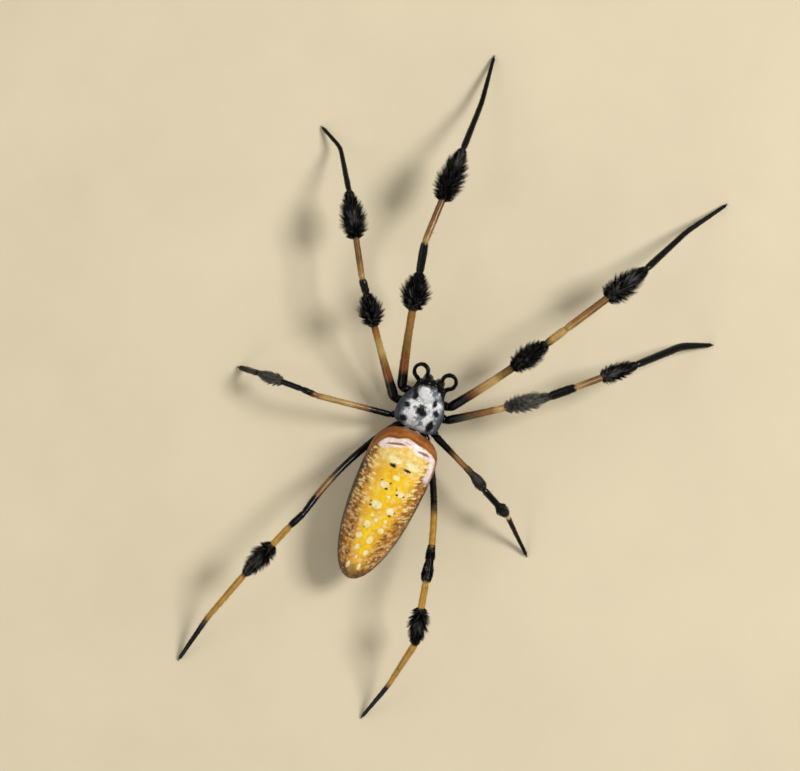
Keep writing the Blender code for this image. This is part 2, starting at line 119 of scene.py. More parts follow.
def cells(points, size, seed):
    # one random point in each cell of a lattice: distance to the nearest, how much further the second is,
    # and the nearest one's own number
    spots = points / size
    base = np.floor(spots)
    best, second = np.full((2, len(points)), 9.0)
    value = np.zeros(len(points))
    for step in np.ndindex(3, 3, 3):
        cell = base + step - 1.0
        middle = cell + np.stack([hashed(cell, seed + k) for k in (1, 2, 3)], 1)
        away = np.linalg.norm(middle - spots, axis=1)
        closer = away < best
        second = np.where(closer, best, np.minimum(second, away))
        value = np.where(closer, hashed(cell, seed + 9), value)
        best = np.where(closer, away, best)
    return best, second - best, value


# meshes
def addObject(name, data):
    item = bpy.data.objects.new(name, data)
    bpy.context.scene.collection.objects.link(item)
    return item


def addMesh(name, points, quads, tris, colour=None, cornerUv=None):
    # a smooth mesh from points in millimetres, its faces turned outwards, with a colour at each point
    world = (points + seat) * mm
    corner = world[np.concatenate([quads[:, [0, 1, 2]], quads[:, [0, 2, 3]], tris])]
    if np.einsum("ij,ij->i", corner[:, 0], np.cross(corner[:, 1], corner[:, 2])).sum() < 0:
        quads, tris = quads[:, ::-1], tris[:, ::-1]
        if cornerUv is not None:
            cornerUv = [part[:, ::-1] for part in cornerUv]
    mesh = bpy.data.meshes.new(name)
    mesh.vertices.add(len(world))
    mesh.vertices.foreach_set("co", world.astype(np.float32).ravel())
    mesh.loops.add(quads.size + tris.size)
    mesh.loops.foreach_set("vertex_index", np.concatenate([quads.ravel(), tris.ravel()]).astype(np.int32))
    starts = np.concatenate([np.arange(len(quads)) * 4, quads.size + np.arange(len(tris)) * 3])
    mesh.polygons.add(len(starts))
    mesh.polygons.foreach_set("loop_start", starts.astype(np.int32))
    mesh.polygons.foreach_set("use_smooth", np.ones(len(starts), bool))
    mesh.update(calc_edges=True)
    if colour is not None:
        tones = np.ones((len(world), 4), np.float32)
        tones[:, :3] = colour
        label = "skinColour" if cornerUv is None else "coatColour"
        layer = mesh.attributes.new(label, "FLOAT_COLOR", "POINT")
        layer.data.foreach_set("color", tones.ravel())
    if cornerUv is not None:
        layer = mesh.uv_layers.new(name="OFBake", do_init=False)
        spots = np.concatenate([part.reshape(-1, 2) for part in cornerUv])
        layer.uv.foreach_set("vector", spots.astype(np.float32).ravel())
    mesh.validate()
    return addObject(name, mesh)


def gridQuads(rows, around, bands):
    # faces between neighbouring rings; as many bands as rows join the last ring to the first
    row, col = np.meshgrid(np.arange(bands), np.arange(around), indexing="ij")
    low, high, after = row * around, (row + 1) % rows * around, (col + 1) % around
    return np.stack([low + col, low + after, high + after, high + col], -1).reshape(-1, 4)


def closedGrid(grid, startPole, endPole):
    # rings joined to their neighbours and closed by a fan at each end
    rows, around = grid.shape[:2]
    col = np.arange(around)
    after = (col + 1) % around
    last = (rows - 1) * around
    startFan = np.stack([after, col, np.full(around, rows * around)], 1)
    endFan = np.stack([last + col, last + after, np.full(around, rows * around + 1)], 1)
    points = np.concatenate([grid.reshape(-1, 3), [startPole], [endPole]])
    return points, gridQuads(rows, around, rows - 1), np.concatenate([startFan, endFan])


def joinParts(parts):
    # several (points, quads, tris) sets as one
    points, quads, tris = zip(*parts)
    starts = np.cumsum([0] + [len(spots) for spots in points])
    quads = [faces + start for faces, start in zip(quads, starts)]
    tris = [faces + start for faces, start in zip(tris, starts)]
    return np.concatenate(points), np.concatenate(quads), np.concatenate(tris)


def pathFrame(path, guide=upward):
    # direction of a path, a sideways line square to it and the guide, and the line square to both
    way = unit(np.gradient(path, axis=0))
    side = unit(np.cross(way, guide))
    return way, side, np.cross(side, way)


def rounded(path, half):
    # each point becomes a bell-weighted average of its neighbours, with both ends held in place
    weights = np.hanning(2 * half + 3)[1:-1]
    padded = np.concatenate([path[:1] * 2 - path[half:0:-1], path, path[-1:] * 2 - path[-2:-half - 2:-1]])
    return np.stack([np.convolve(column, weights / weights.sum(), "valid") for column in padded.T], 1)


def tubeGrid(path, radius, around, guide=upward, flat=1.0):
    # at each point of the path a circle square to it: centre + r (cos a side + flat sin a top)
    way, side, top = pathFrame(path, guide)
    turn = circle(around)[None, :, None]
    ring = np.cos(turn) * side[:, None] + flat * np.sin(turn) * top[:, None]
    return path[:, None] + radius.reshape(len(path), -1, 1) * ring


def tubePart(path, radius, around, guide=upward, flat=1.0):
    # a tube with both ends closed by a low point
    way = pathFrame(path)[0]
    grid = tubeGrid(path, radius, around, guide, flat)
    return closedGrid(grid, path[0] - way[0] * radius[0] * 0.4, path[-1] + way[-1] * radius[-1] * 0.4)


def roundEnd(past, over, least):
    # a radius closing as a quarter circle over the last stretch, down to the root of least
    return np.sqrt(np.clip(1 - (past / over).clip(0, 1) ** 2, least, 1))


# hairs
def growHairs(name, root, out, lay, length, width, lift, curl, colour, rootUv, tipTone, flat=0.55, tips=None):
    # each hair is a thin three-sided spike: root + L (u t + (lay - u) curl t*t), where u is the direction it
    # starts in and t its share of the length; its width falls to a point at t = 1
    lay = unit(lay)
    start = unit(out * np.sin(lift)[:, None] + lay * np.cos(lift)[:, None])
    share = np.linspace(0.0, 1.0, 3)
    along = share[None, :, None]
    bend = (lay - start)[:, None] * np.reshape(curl, (-1, 1, 1)) * along**2
    spine = root[:, None] + length[:, None, None] * (start[:, None] * along + bend)
    if tips is not None:  # bent so that each hair ends at its given tip
        spine = spine + (tips - spine[:, -1])[:, None] * along**1.5
    way = unit(spine[:, -1] - spine[:, 0])
    side = unit(np.cross(way, out + 1e-5))
    top = np.cross(side, way)
    turn = np.array([math.pi * 0.5, math.pi * 7 / 6, math.pi * 11 / 6])[None, None, :, None]
    thin = (1.0 - share[:-1] ** 1.6 * 0.75)[None, :, None]
    ring = np.cos(turn) * side[:, None, None] + flat * np.sin(turn) * top[:, None, None]
    body = spine[:, :-1, None] + (0.5 * np.reshape(width, (-1, 1, 1)) * thin)[..., None] * ring
    points = np.concatenate([body.reshape(len(root), 6, 3), spine[:, -1:]], 1)
    sides = ((0, 1), (1, 2), (2, 0))
    quads = np.array([[k, after, 3 + after, 3 + k] for k, after in sides])
    tris = np.array([[3 + k, 3 + after, 6] for k, after in sides] + [[2, 1, 0]])
    quadUv = [[[k / 3, 0.0], [(k + 1) / 3, 0.0], [(k + 1) / 3, 0.5], [k / 3, 0.5]] for k in range(3)]
    triUv = [[[k / 3, 0.5], [(k + 1) / 3, 0.5], [(k + 0.5) / 3, 1.0]] for k in range(3)]
    triUv.append([[0.0, 0.0], [1.0, 0.0], [0.5, 0.2]])
    first = (np.arange(len(root)) * 7)[:, None, None]
    patch = 0.003  # a hair's own piece of the map, at its root's place on the skin
    corner = rootUv[:, None, None] * (1 - patch)
    cornerUv = [(corner + patch * np.array(uv)).reshape(-1, len(uv[0]), 2) for uv in (quadUv, triUv)]
    tone = np.append(np.repeat(1 + (tipTone - 1) * share[:-1], 3), tipTone)
    tones = np.clip(colour[:, None] * tone[:, None], 0, 1).reshape(-1, 3)
    quads, tris = (quads + first).reshape(-1, 4), (tris + first).reshape(-1, 3)
    return addMesh(name, points.reshape(-1, 3), quads, tris, tones, cornerUv)


# materials
def newMaterial(name, roughness, coat, sheen, specular):
    material = bpy.data.materials.new(name)
    material.use_nodes = True
    values = {"Roughness": roughness, "Coat Weight": coat, "Coat Roughness": 0.06, "Sheen Weight": sheen,
              "Specular IOR Level": specular}
    for label, value in values.items():
        material.node_tree.nodes["Principled BSDF"].inputs[label].default_value = value
    return material


def addNode(material, kind, inputs=None, **settings):
    # a node whose inputs are linked where they are given a socket, and set where they are given a value
    node = material.node_tree.nodes.new("ShaderNode" + kind)
    for label, value in settings.items():
        setattr(node, label, value)
    for label, value in (inputs or {}).items():
        if isinstance(value, bpy.types.NodeSocket):
            material.node_tree.links.new(value, node.inputs[label])
        else:
            node.inputs[label].default_value = value
    return node


def noiseBetween(material, spots, scale, low, high, detail, rough=0.5):
    # noise spread from low to high
    inputs = {"Vector": spots, "Scale": scale, "Detail": detail, "Roughness": rough}
    noise = addNode(material, "TexNoise", inputs)
    ends = {"Value": noise.outputs["Fac"], "From Min": 0.3, "From Max": 0.7, "To Min": low, "To Max": high}
    return addNode(material, "MapRange", ends).outputs["Result"]


def toned(material, colour, spots, scale, low, high, detail=4.0):
    # a colour made lighter and darker by noise between two multipliers
    tone = noiseBetween(material, spots, scale, low, high, detail, 0.6)
    return addNode(material, "VectorMath", {0: colour, "Scale": tone}, operation="SCALE").outputs["Vector"]


def finishWith(material, colour, spots, bumps, roughness=None):
    # colour, an uneven roughness (scale, low, high) and bumps one over another, each a pattern, its scale,
    # its height in millimetres and its strength; a number for the pattern is noise of that detail
    links, shader = material.node_tree.links, material.node_tree.nodes["Principled BSDF"]
    links.new(colour, shader.inputs["Base Color"])
    if roughness is not None:
        links.new(noiseBetween(material, spots, *roughness, 3.0), shader.inputs["Roughness"])
    normal = None
    for pattern, scale, height, strength in bumps:
        inputs = {"Vector": spots, "Scale": scale}
        if isinstance(pattern, str):
            relief = addNode(material, "TexVoronoi", inputs, feature=pattern).outputs["Distance"]
        else:
            relief = addNode(material, "TexNoise", inputs | {"Detail": pattern}).outputs["Fac"]
        inputs = {"Height": relief, "Distance": height * mm, "Strength": strength}
        normal = addNode(material, "Bump", inputs | ({"Normal": normal} if normal else {})).outputs["Normal"]
    links.new(normal, shader.inputs["Normal"])
    return material


def marked(material, label, tones):
    # the painted marks of that name, made uneven by one noise after another
    spots = addNode(material, "TexCoord").outputs["Object"]
    colour = addNode(material, "Attribute", attribute_name=label, attribute_type="GEOMETRY").outputs["Color"]
    for tone in tones:
        colour = toned(material, colour, spots, *tone)
    return colour, spots


def cuticle(name, roughness, coat, grain, low, high, bumpHeight, specular=0.5):
    # hard skin: painted marks, a fine mottling, tiny pits and low swellings
    material = newMaterial(name, roughness, coat, 0.0, specular)
    colour, spots = marked(material, "skinColour", ((grain, low, high), (grain * 4.3, 0.9, 1.1, 2.0)))
    bumps = (("SMOOTH_F1", grain * 3.0, bumpHeight, 0.5), (5.0, grain * 2.2, bumpHeight * 1.6, 0.6))
    return finishWith(material, colour, spots, bumps, (grain * 1.7, roughness * 0.8, roughness * 1.25))


def coatMaterial(name, roughness, sheen, specular):
    # hairs: the colour at the root, a little lighter at the tip, with a fine unevenness
    material = newMaterial(name, roughness, 0.0, sheen, specular)
    material.node_tree.nodes["Principled BSDF"].inputs["Sheen Roughness"].default_value = 0.4
    colour, spots = marked(material, "coatColour", ((2600.0, 0.82, 1.18),))
    return finishWith(material, colour, spots, ((2.0, 9000.0, 0.004, 0.5),),
                      (3000.0, roughness * 0.85, roughness * 1.15))


def fit(piece, material, slotName, *nodes):
    # gives a piece its finish and ties it to the frame
    piece.data.materials.append(material)
    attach(piece, "root")
    if nodes:
        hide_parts(*nodes)


# colours shared by skin and coat
tints = {
    "black": (10, 9, 9), "soot": (36, 35, 32), "ash": (64, 62, 55), "grey": (104, 103, 98),
    "silver": (96, 94, 84), "rust": (124, 72, 32), "olive": (130, 97, 42), "straw": (180, 144, 84),
    "honey": (150, 102, 40),
    "tan": (144, 102, 54), "nut": (116, 78, 40), "wheat": (204, 166, 102), "gold": (186, 140, 56),
    "palest": (222, 190, 132), "moss": (88, 68, 34), "umber": (84, 54, 28),
}
tints = {label: paint(*tone) for label, tone in tints.items()}

# legs
# end of the coxa, then for femur, patella, tibia, metatarsus and tarsus the heading away from straight ahead,
# the length seen from above and the height of the far joint; radii; and each tint's places, in segments
legs = {
    "leg_1_left": {
        "coxaEnd": (3.8, -4.9, 4.15), "heading": (15.5, 14.6, 2.1, 2.7, 9.4),
        "run": (16.1, 4.3, 14.2, 7.0, 6.7), "height": (10.2, 11.0, 8.2, 3.3),
        "femur": (0.74, 0.56), "patella": 0.60, "tibia": (0.50, 0.50), "foot": (0.48, 0.37, 0.26),
        "bands": "black 1.13 rust 1.19 1.29 olive 1.37 1.46 tan 1.54 honey 1.63 1.69 black 1.73 2.96 "
                 "straw 3.01 tan 3.10 3.20 nut 3.27 3.42 black 3.47",
    },
    "leg_1_right": {
        "coxaEnd": (3.5, -5.0, 4.15), "heading": (32.1, 28.7, 28.8, 23.1, 31.7),
        "run": (16.2, 3.4, 14.1, 7.8, 6.7), "height": (10.2, 10.9, 8.0, 3.2),
        "femur": (0.70, 0.57), "patella": 0.58, "tibia": (0.55, 0.54), "foot": (0.52, 0.39, 0.28),
        "bands": "black 1.17 rust 1.25 straw 1.35 wheat 1.45 straw 1.50 olive 1.56 moss 1.65 black 1.70 2.0 "
                 "moss 2.08 olive 2.2 straw 2.34 2.5 3.0 tan 3.10 3.22 nut 3.34 3.50 black 3.55",
    },
    "leg_2_left": {
        "coxaEnd": (4.1, -3.05, 4.15), "heading": (39.4, 40.0, 33.0, 35.6, 66.0),
        "run": (15.1, 2.1, 12.6, 6.2, 3.8), "height": (9.7, 10.2, 7.4, 2.3),
        "femur": (0.74, 0.50), "patella": 0.56, "tibia": (0.46, 0.45), "foot": (0.42, 0.31, 0.26),
        "bands": "black 1.16 rust 1.23 1.30 olive 1.36 straw 1.45 1.54 honey 1.62 rust 1.69 black 1.73 2.96 "
                 "straw 3.02 tan 3.10 nut 3.22 3.45 black 3.49",
    },
    "leg_2_right": {
        "coxaEnd": (3.8, -3.15, 4.15), "heading": (52.4, 46.0, 45.4, 43.7, 62.8),
        "run": (14.8, 3.9, 9.1, 6.9, 4.3), "height": (9.6, 10.4, 7.8, 2.6),
        "femur": (0.64, 0.48), "patella": 0.64, "tibia": (0.50, 0.50), "foot": (0.54, 0.56, 0.32),
        "bands": "black 1.10 soot 1.16 moss 1.25 nut 1.35 tan 1.45 wheat 1.53 1.60 grey 1.65 soot 1.72 "
                 "black 2.0 2.96 straw 3.02 tan 3.12 nut 3.24 3.42 black 3.46",
    },
    "leg_3_left": {
        "coxaEnd": (3.59, -0.75, 4.1), "heading": (99.9, 91.0, 94.3, 98.2, 97.1),
        "run": (10.7, 2.3, 6.4, 1.7, 1.2), "height": (7.4, 7.8, 4.6, 1.5),
        "femur": (0.46, 0.42), "patella": 0.45, "tibia": (0.42, 0.42), "foot": (0.43, 0.44, 0.36),
        "bands": "black 1.26 nut 1.34 tan 1.44 straw 1.56 1.90 tan 1.98 nut 2.12 moss 2.26 black 2.38",
    },
    "leg_3_right": {
        "coxaEnd": (3.38, -0.56, 4.1), "heading": (111.5, 121.4, 113.8, 129.9, 129.2),
        "run": (8.1, 2.0, 4.9, 3.8, 2.4), "height": (7.1, 7.5, 5.2, 1.7),
        "femur": (0.54, 0.42), "patella": 0.60, "tibia": (0.48, 0.48), "foot": (0.38, 0.29, 0.26),
        "bands": "black 1.38 moss 1.46 tan 1.55 1.70 olive 1.80 moss 1.90 2.25 soot 2.45 black 2.6 3.93 "
                 "palest 3.99 4.04 black 4.12",
    },
    "leg_4_left": {
        "coxaEnd": (2.6, 0.7, 3.75), "heading": (158.4, 157.4, 161.2, 163.8, 169.9),
        "run": (17.2, 2.8, 9.4, 7.9, 7.1), "height": (9.3, 9.9, 8.2, 3.5),
        "femur": (0.53, 0.46), "patella": 0.48, "tibia": (0.47, 0.48), "foot": (0.48, 0.40, 0.29),
        "bands": "black 1.48 soot 1.56 moss 1.62 olive 1.68 1.76 rust 1.83 black 1.86 2.95 gold 3.03 3.36 "
                 "black 3.42 3.97 gold 4.02 4.95 moss 5.06 soot 5.16 black 5.24",
    },
    "leg_4_right": {
        "coxaEnd": (2.6, 0.6, 3.75), "heading": (155.0, 165.7, 165.6, 188.1, 195.1),
        "run": (17.4, 2.3, 8.8, 7.1, 5.6), "height": (9.2, 9.8, 8.0, 3.4),
        "femur": (0.50, 0.48), "patella": 0.68, "tibia": (0.50, 0.50), "foot": (0.52, 0.36, 0.26),
        "bands": "black 1.50 moss 1.56 gold 1.62 1.84 black 1.88 2.9 gold 3.0 3.4 black 3.45 3.97 "
                 "gold 4.02 4.9 black 5.0",
    },
}

legShape = {
    "hipSide": (1.27, 1.40, 1.40, 1.12), "hipY": (-4.95, -3.55, -2.15, -0.85), "hipZ": 3.75,  # by pair
    "bow": ((0.2, 0.45), (0.1, 0.45), (0.0, 0.4), (0.85, -0.35)),  # the thigh's, outwards and up, by pair
    "coxaRadius": 0.66,
    "coatDepth": 0.02,  # the skin lies this far inside the solid
    "around": 36,
    "spacing": 0.13,
    "jointRound": 0.5,  # length over which each joint's corner is rounded
    "footRound": 1.5,
    "tipRise": 0.20,
    "hinged": (0.5, 4.6),  # the stretch whose joints are pinched and folded
}

brushes = {  # segment, start and end along it, how far it stands out, lean of its fullest place, tint
    "leg_1_left": ((1, 0.68, 1.00, 2.05, 0.95, "black"), (3, 0.44, 0.985, 1.95, 0.75, "black")),
    "leg_1_right": ((1, 0.65, 1.00, 1.65, 0.95, "black"), (3, 0.50, 0.985, 1.80, 0.65, "black")),
    "leg_2_left": ((1, 0.70, 1.00, 1.75, 0.95, "black"), (3, 0.45, 0.985, 1.80, 0.75, "black")),
    "leg_2_right": ((1, 0.58, 1.00, 1.25, 0.90, "silver"), (3, 0.42, 0.99, 1.25, 0.65, "black")),
    "leg_3_left": ((3, 0.45, 0.985, 0.95, 0.95, "silver"),),
    "leg_3_right": ((2, -0.24, 0.97, 0.84, 1.6, "ash"), (3, 0.60, 0.985, 0.86, 1.0, "soot")),
    "leg_4_left": ((3, 0.36, 0.97, 1.50, 0.80, "black"),),
    "leg_4_right": ((1, 0.83, 1.00, 0.66, 1.0, "black"), (2, -0.07, 0.97, 0.80, 0.80, "black"),
                    (3, 0.40, 0.995, 1.42, 0.88, "black")),
}


def legSizes(leg):
    # places along the leg, counted in segments, and the radius at each
    coxa = min(legShape["coxaRadius"], leg["femur"][0] * 1.15)
    thick, ankle, tip = leg["foot"]
    knee = leg["patella"]
    table = [(0.0, 0.86 * coxa), (0.2, coxa), (0.52, 0.94 * coxa), (0.97, 0.90 * coxa)]
    for start, (near, far) in ((1, leg["femur"]), (3, leg["tibia"])):
        table += [(start, near * 0.88), (start + 0.05, near), (start + 0.25, (near + far) / 2)]
        table += [(start + 0.5, far), (start + 0.9, far * 1.04), (start + 0.99, far * 0.95)]
    table += [(2.0, 0.90 * knee), (2.22, knee), (2.7, 1.04 * knee), (2.97, 0.86 * knee)]
    table += [(4.0, thick * 0.88), (4.12, thick), (4.5, (thick + ankle) / 2), (5.0, ankle)]
    table += [(5.12, ankle * 0.97), (5.5, (ankle + tip) / 2), (5.85, tip), (6.0, tip * 0.95)]
    return np.array(sorted(table)).T


def legLine(name):
    # the leg's middle line: straight runs between joints, sampled evenly and rounded at the joints; the thigh
    # bows by 4 share (1 - share) times its bow
    leg, pair = legs[name], int(name[4]) - 1
    sign = 1.0 if name.endswith("left") else -1.0
    mirror = np.array([sign, 1.0, 1.0])
    hip = (legShape["hipSide"][pair], legShape["hipY"][pair], legShape["hipZ"])
    joints = [mirror * hip, mirror * leg["coxaEnd"]]
    for heading, run, height in zip(leg["heading"], leg["run"], (*leg["height"], legShape["tipRise"])):
        turn = math.radians(heading)
        x, y = joints[-1][:2] + [sign * math.sin(turn) * run, -math.cos(turn) * run]
        joints.append(np.array([x, y, height]))
    joints = np.array(joints)
    steps = np.linalg.norm(np.diff(joints, axis=0), axis=1)
    along = np.concatenate([[0.0], np.cumsum(steps)])
    far = np.linspace(0.0, along[-1], int(along[-1] / legShape["spacing"]))
    station = np.interp(far, along, np.arange(7.0))
    thigh = joints[2] - joints[1]
    side = unit(np.cross(thigh, upward))
    top = np.cross(side, unit(thigh))
    outward = side * (1.0 if joints[1, 0] * side[0] > 0 else -1.0)
    share = np.clip(station - 1.0, 0.0, 1.0)
    sideBow, topBow = legShape["bow"][pair]
    bow = outward * sideBow + top * topBow
    path = readAlong(far, along, joints) + (4 * share * (1 - share))[:, None] * bow
    path = rounded(path, int(legShape["jointRound"] / legShape["spacing"]))
    soft = rounded(path, int(legShape["footRound"] / legShape["spacing"]))
    path = path + (soft - path) * smooth(4.3, 4.7, station)[:, None]
    radius = np.interp(station, *legSizes(leg)) - legShape["coatDepth"]
    away = np.abs(station - np.round(station)) * steps[np.minimum(station.astype(int), 5)]
    inner = (station > legShape["hinged"][0]) & (station < legShape["hinged"][1])
    pinch = np.where(inner, 0.11 * bell(away, 0.16) - 0.04 * bell(away - 0.45, 0.22), 0.0)
    tip = roundEnd(far - along[-1] + 0.5, 0.56, 0.02)
    return {"path": path, "station": station, "far": far, "steps": steps,
            "radius": radius * (1 - pinch) * tip, "fold": bell(away, 0.12) * inner}


def legColour(name, station, turn, points):
    # tints along the leg joined by straight blends, with lengthwise streaks and a painted highlight, a paler
    # line along the top
    where, shade = [], []
    for word in legs[name]["bands"].split():
        if word in tints:
            tint = word
        else:
            where.append(float(word))
            shade.append(tints[tint])
    wander = 0.030 * (cloud(points, 0.9, 5) - 0.5) + 0.02 * (cloud(points, 0.35, 6) - 0.5)
    colour = readAlong(station + wander, where, np.array(shade))
    bright = colour.sum(1) > 0.15
    lane = np.stack([station * 0.9, np.cos(turn) * 2.2, np.sin(turn) * 2.2], 1)
    streak = cloud(lane, 0.55, 11) * 0.6 + cloud(lane * [3.0, 2.0, 2.0], 0.5, 12) * 0.4
    # painted highlight: a paler line along the top of the bright parts of the leg
    paintedHighlight = smooth(0.86, 1.0, np.sin(turn)) * smooth(0.45, 0.62, cloud(lane, 0.8, 13))
    colour = colour * (0.66 + 0.72 * streak)[:, None]
    return np.clip(blendTo(colour, tints["palest"], np.where(bright, paintedHighlight * 0.30, 0.0)), 0.003, 1.0)


legSkin = cuticle("legSkin", 0.26, 0.10, 900.0, 0.80, 1.16, 0.010, 0.20)
hairBlack = coatMaterial("legHair", 0.60, 0.0, 0.05)


def surfaceAt(line, index, turn):
    # the point, outward line and lay of the leg's skin at a fractional row and an angle
    rows = np.arange(len(line["path"]))
    way, side, top = [unit(readAlong(index, rows, lines)) for lines in pathFrame(line["path"])]
    out = np.cos(turn)[:, None] * side + np.sin(turn)[:, None] * top
    radius = np.interp(index, rows, line["radius"])
    return readAlong(index, rows, line["path"]) + out * radius[:, None], out, way


def buildLeg(name, seed):
    # a tube with a slight ripple, its joints' folds darker where the leg is bright
    line = legLine(name)
    count, around = len(line["path"]), legShape["around"]
    base = tubeGrid(line["path"], line["radius"], around).reshape(-1, 3)
    ripple = 0.985 + 0.03 * cloud(base, 0.55, seed).reshape(count, around)
    grid = tubeGrid(line["path"], line["radius"][:, None] * ripple, around)
    station, turn = np.repeat(line["station"], around), np.tile(circle(around), count)
    colour = legColour(name, station, turn, grid.reshape(-1, 3))
    fold = np.repeat(line["fold"], around) * smooth(0.05, 0.25, colour.sum(1))
    colour = blendTo(colour, tints["umber"], 0.45 * fold)
    colour = np.concatenate([colour, colour[:1], colour[-1:]])
    skin = addMesh(f"{name}_skin", *closedGrid(grid, line["path"][0], line["path"][-1]), colour)
    parts = ("coxa", "femur", "patella", "tibia", "foot")
    fit(skin, legSkin, "leg_gold", *[f"{name}_{part}" for part in parts])
    buildLegHairs(name, line, seed)
    for order, tuft in enumerate(brushes[name]):
        buildBrush(f"{name}_brush_{order + 1}", line, tuft, seed * 7 + order)


setae = {
    "perMillimetre": 62, "length": (0.22, 0.42), "width": 0.030, "lift": (18, 38),
    "spines": 26, "spineLength": 2.2, "spineWidth": 1.7,  # length and width as times the hairs' own
    "spineLift": 48,
}


def buildLegHairs(name, line, seed):
    # fine hairs all along the leg and a few longer spines
    rng = np.random.default_rng(seed)
    rows = np.arange(len(line["path"]))
    total = line["far"][-1]
    number = int(total * setae["perMillimetre"])
    far = rng.uniform(0.4, total - 0.25, number)
    index = np.interp(far, line["far"], rows)
    turn = rng.uniform(0, fullTurn, number)
    root, out, way = surfaceAt(line, index, turn)
    station = np.interp(index, rows, line["station"])
    length = rng.uniform(*setae["length"], number) * (1 - 0.3 * smooth(5.0, 6.0, station))
    lift = np.radians(rng.uniform(*setae["lift"], number))
    lay = way + 0.25 * rng.normal(size=(number, 1)) * np.cross(way, out)
    colour = legColour(name, station, turn, root) * rng.uniform(0.6, 1.15, (number, 1))
    width = np.full(number, setae["width"])
    spines = rng.choice(number, setae["spines"], replace=False)
    length[spines] *= setae["spineLength"]
    width[spines] *= setae["spineWidth"]
    lift[spines] = math.radians(setae["spineLift"])
    colour[spines] = tints["black"]
    uv = np.stack([turn / fullTurn, far / total], 1)
    root = root - out * 0.02
    hairs = growHairs(f"{name}_hairs", root, out, lay, length, width, lift, 0.35, colour, uv, 1.15)
    fit(hairs, hairBlack, "leg_gold")


brush = {
    "perMillimetre": 980,  # hairs along each millimetre of a full-sized tuft
    "width": 0.062,
    "fuller": 1.17,  # tips thin out, so the outline is drawn a little larger
    "lockSize": 0.74,  # spacing of the pointed locks over the tuft
    "pull": 0.78,  # how far a hair's tip is drawn to its lock's tip
    "jut": 0.40,  # how far the locks stand past the outline
    "steep": (92, 34),  # angle to the leg at the near and the far end
}


def buildBrush(name, line, tuft, seed):
    # hair tips fill a leaf outline round the leg: thin + (reach - thin) sin(pi u^lean)^0.6 at share u of its
    # length; each root lies behind its tip by the hair's slope, and the outermost tips gather into locks
    segment, begin, finish, reach, lean, tint = tuft
    rng = np.random.default_rng(seed)
    rows = np.arange(len(line["path"]))
    run = line["steps"][segment] * (finish - begin)
    middle = np.interp(segment + (begin + finish) / 2, line["station"], rows)
    thin = float(np.interp(middle, rows, line["radius"]))

    def onLeg(share, turn):
        station = segment + begin + (finish - begin) * share
        return surfaceAt(line, np.interp(station, line["station"], rows), turn)

    def strands(share, turn, depth, jut):
        # root and tip for a tip at this share, angle and part of the full height
        near, far = brush["steep"]
        slope = np.radians(near + (far - near) * smooth(-0.05, 0.75, share))
        slope = slope * min(1.0, 0.25 + 0.75 * (reach - thin))
        leaf = np.sin(math.pi * np.clip(share, 0.0, 0.999) ** lean) ** 0.6
        height = np.maximum((reach * brush["fuller"] - thin) * leaf * depth, 0.12) + jut
        rootShare = np.clip(share - height / np.tan(slope) / run, 0.0, 0.97)
        root, out, _ = onLeg(rootShare, turn)
        base, tipOut, _ = onLeg(np.maximum(share, rootShare + 0.01), turn)
        return root, base + tipOut * height[:, None], out, rootShare

    locks = int(run * fullTurn * (thin + 0.75 * (reach - thin)) / brush["lockSize"] ** 2)
    lockShare = 0.03 + 0.97 * (rng.permutation(locks) + rng.uniform(0, 1, locks)) / locks
    lockTurn = rng.uniform(0, fullTurn, locks)
    lockJut = brush["jut"] * min(1.0, (reach - thin) ** 2) * rng.uniform(0.0, 1.0, locks)
    lockJut = lockJut * smooth(1.05, 0.6, lockShare)
    lockTip = strands(lockShare, lockTurn, 1.0, lockJut)[1]
    number = int(run * brush["perMillimetre"] * (0.35 + 0.65 * reach / 2.0))
    share = rng.uniform(0.0, 1.02, number)
    turn = rng.uniform(0, fullTurn, number)
    depth = 1.0 - 0.62 * rng.uniform(0, 1, number) ** 1.5
    root, tip, out, rootShare = strands(share, turn, depth, 0.0)
    owner = np.empty(number, int)
    for part in np.array_split(np.arange(number), 12):
        owner[part] = np.linalg.norm(tip[part, None] - lockTip[None], axis=2).argmin(1)
    near = np.linalg.norm(tip - lockTip[owner], axis=1)
    draw = brush["pull"] * smooth(0.75, 0.97, depth) * smooth(1.4, 0.3, near)
    tip = tip + (lockTip[owner] - tip) * draw[:, None]
    length = np.linalg.norm(tip - root, axis=1)
    heading = unit(tip - root)
    rise = (heading * out).sum(1)
    shade = tints[tint] * rng.uniform(0.5, 1.5, (number, 1))
    spots = np.outer(share * run, [1.0, 0.0, 0.0])
    # painted highlight: a grey streak of hairs along the top of the tuft, beside a few grey hairs anywhere in
    # it
    streak = smooth(0.82, 0.96, np.sin(turn)) * smooth(0.35, 0.6, cloud(spots, 1.6, seed))
    grey = (rng.uniform(0, 1, number) < 0.12 + 0.70 * streak) & (depth > 0.6)
    greyAndHighlightTone = np.maximum(shade, tints["grey"] * rng.uniform(0.25, 1.1, (number, 1)))
    shade = np.where(grey[:, None], greyAndHighlightTone, shade)
    width = brush["width"] * rng.uniform(0.7, 1.2, number)
    uv = np.stack([turn / fullTurn, rootShare], 1)
    lay, lift = heading - out * rise[:, None], np.arcsin(np.clip(rise, -0.3, 0.99))
    hairs = growHairs(name, root - out * 0.03, out, lay, length, width, lift, 0.0, shade, uv, 1.4, 0.6, tip)
    fit(hairs, hairBlack, "leg_black")


for order, name in enumerate(legs):
    buildLeg(name, 31 + order * 4)
print("legs done")


# claws
clawShape = {
    "length": 0.42, "radius": 0.045,
    "hooks": ((0.30, 1.0), (-0.30, 1.0), (0.0, 0.7)),  # lean and size
}


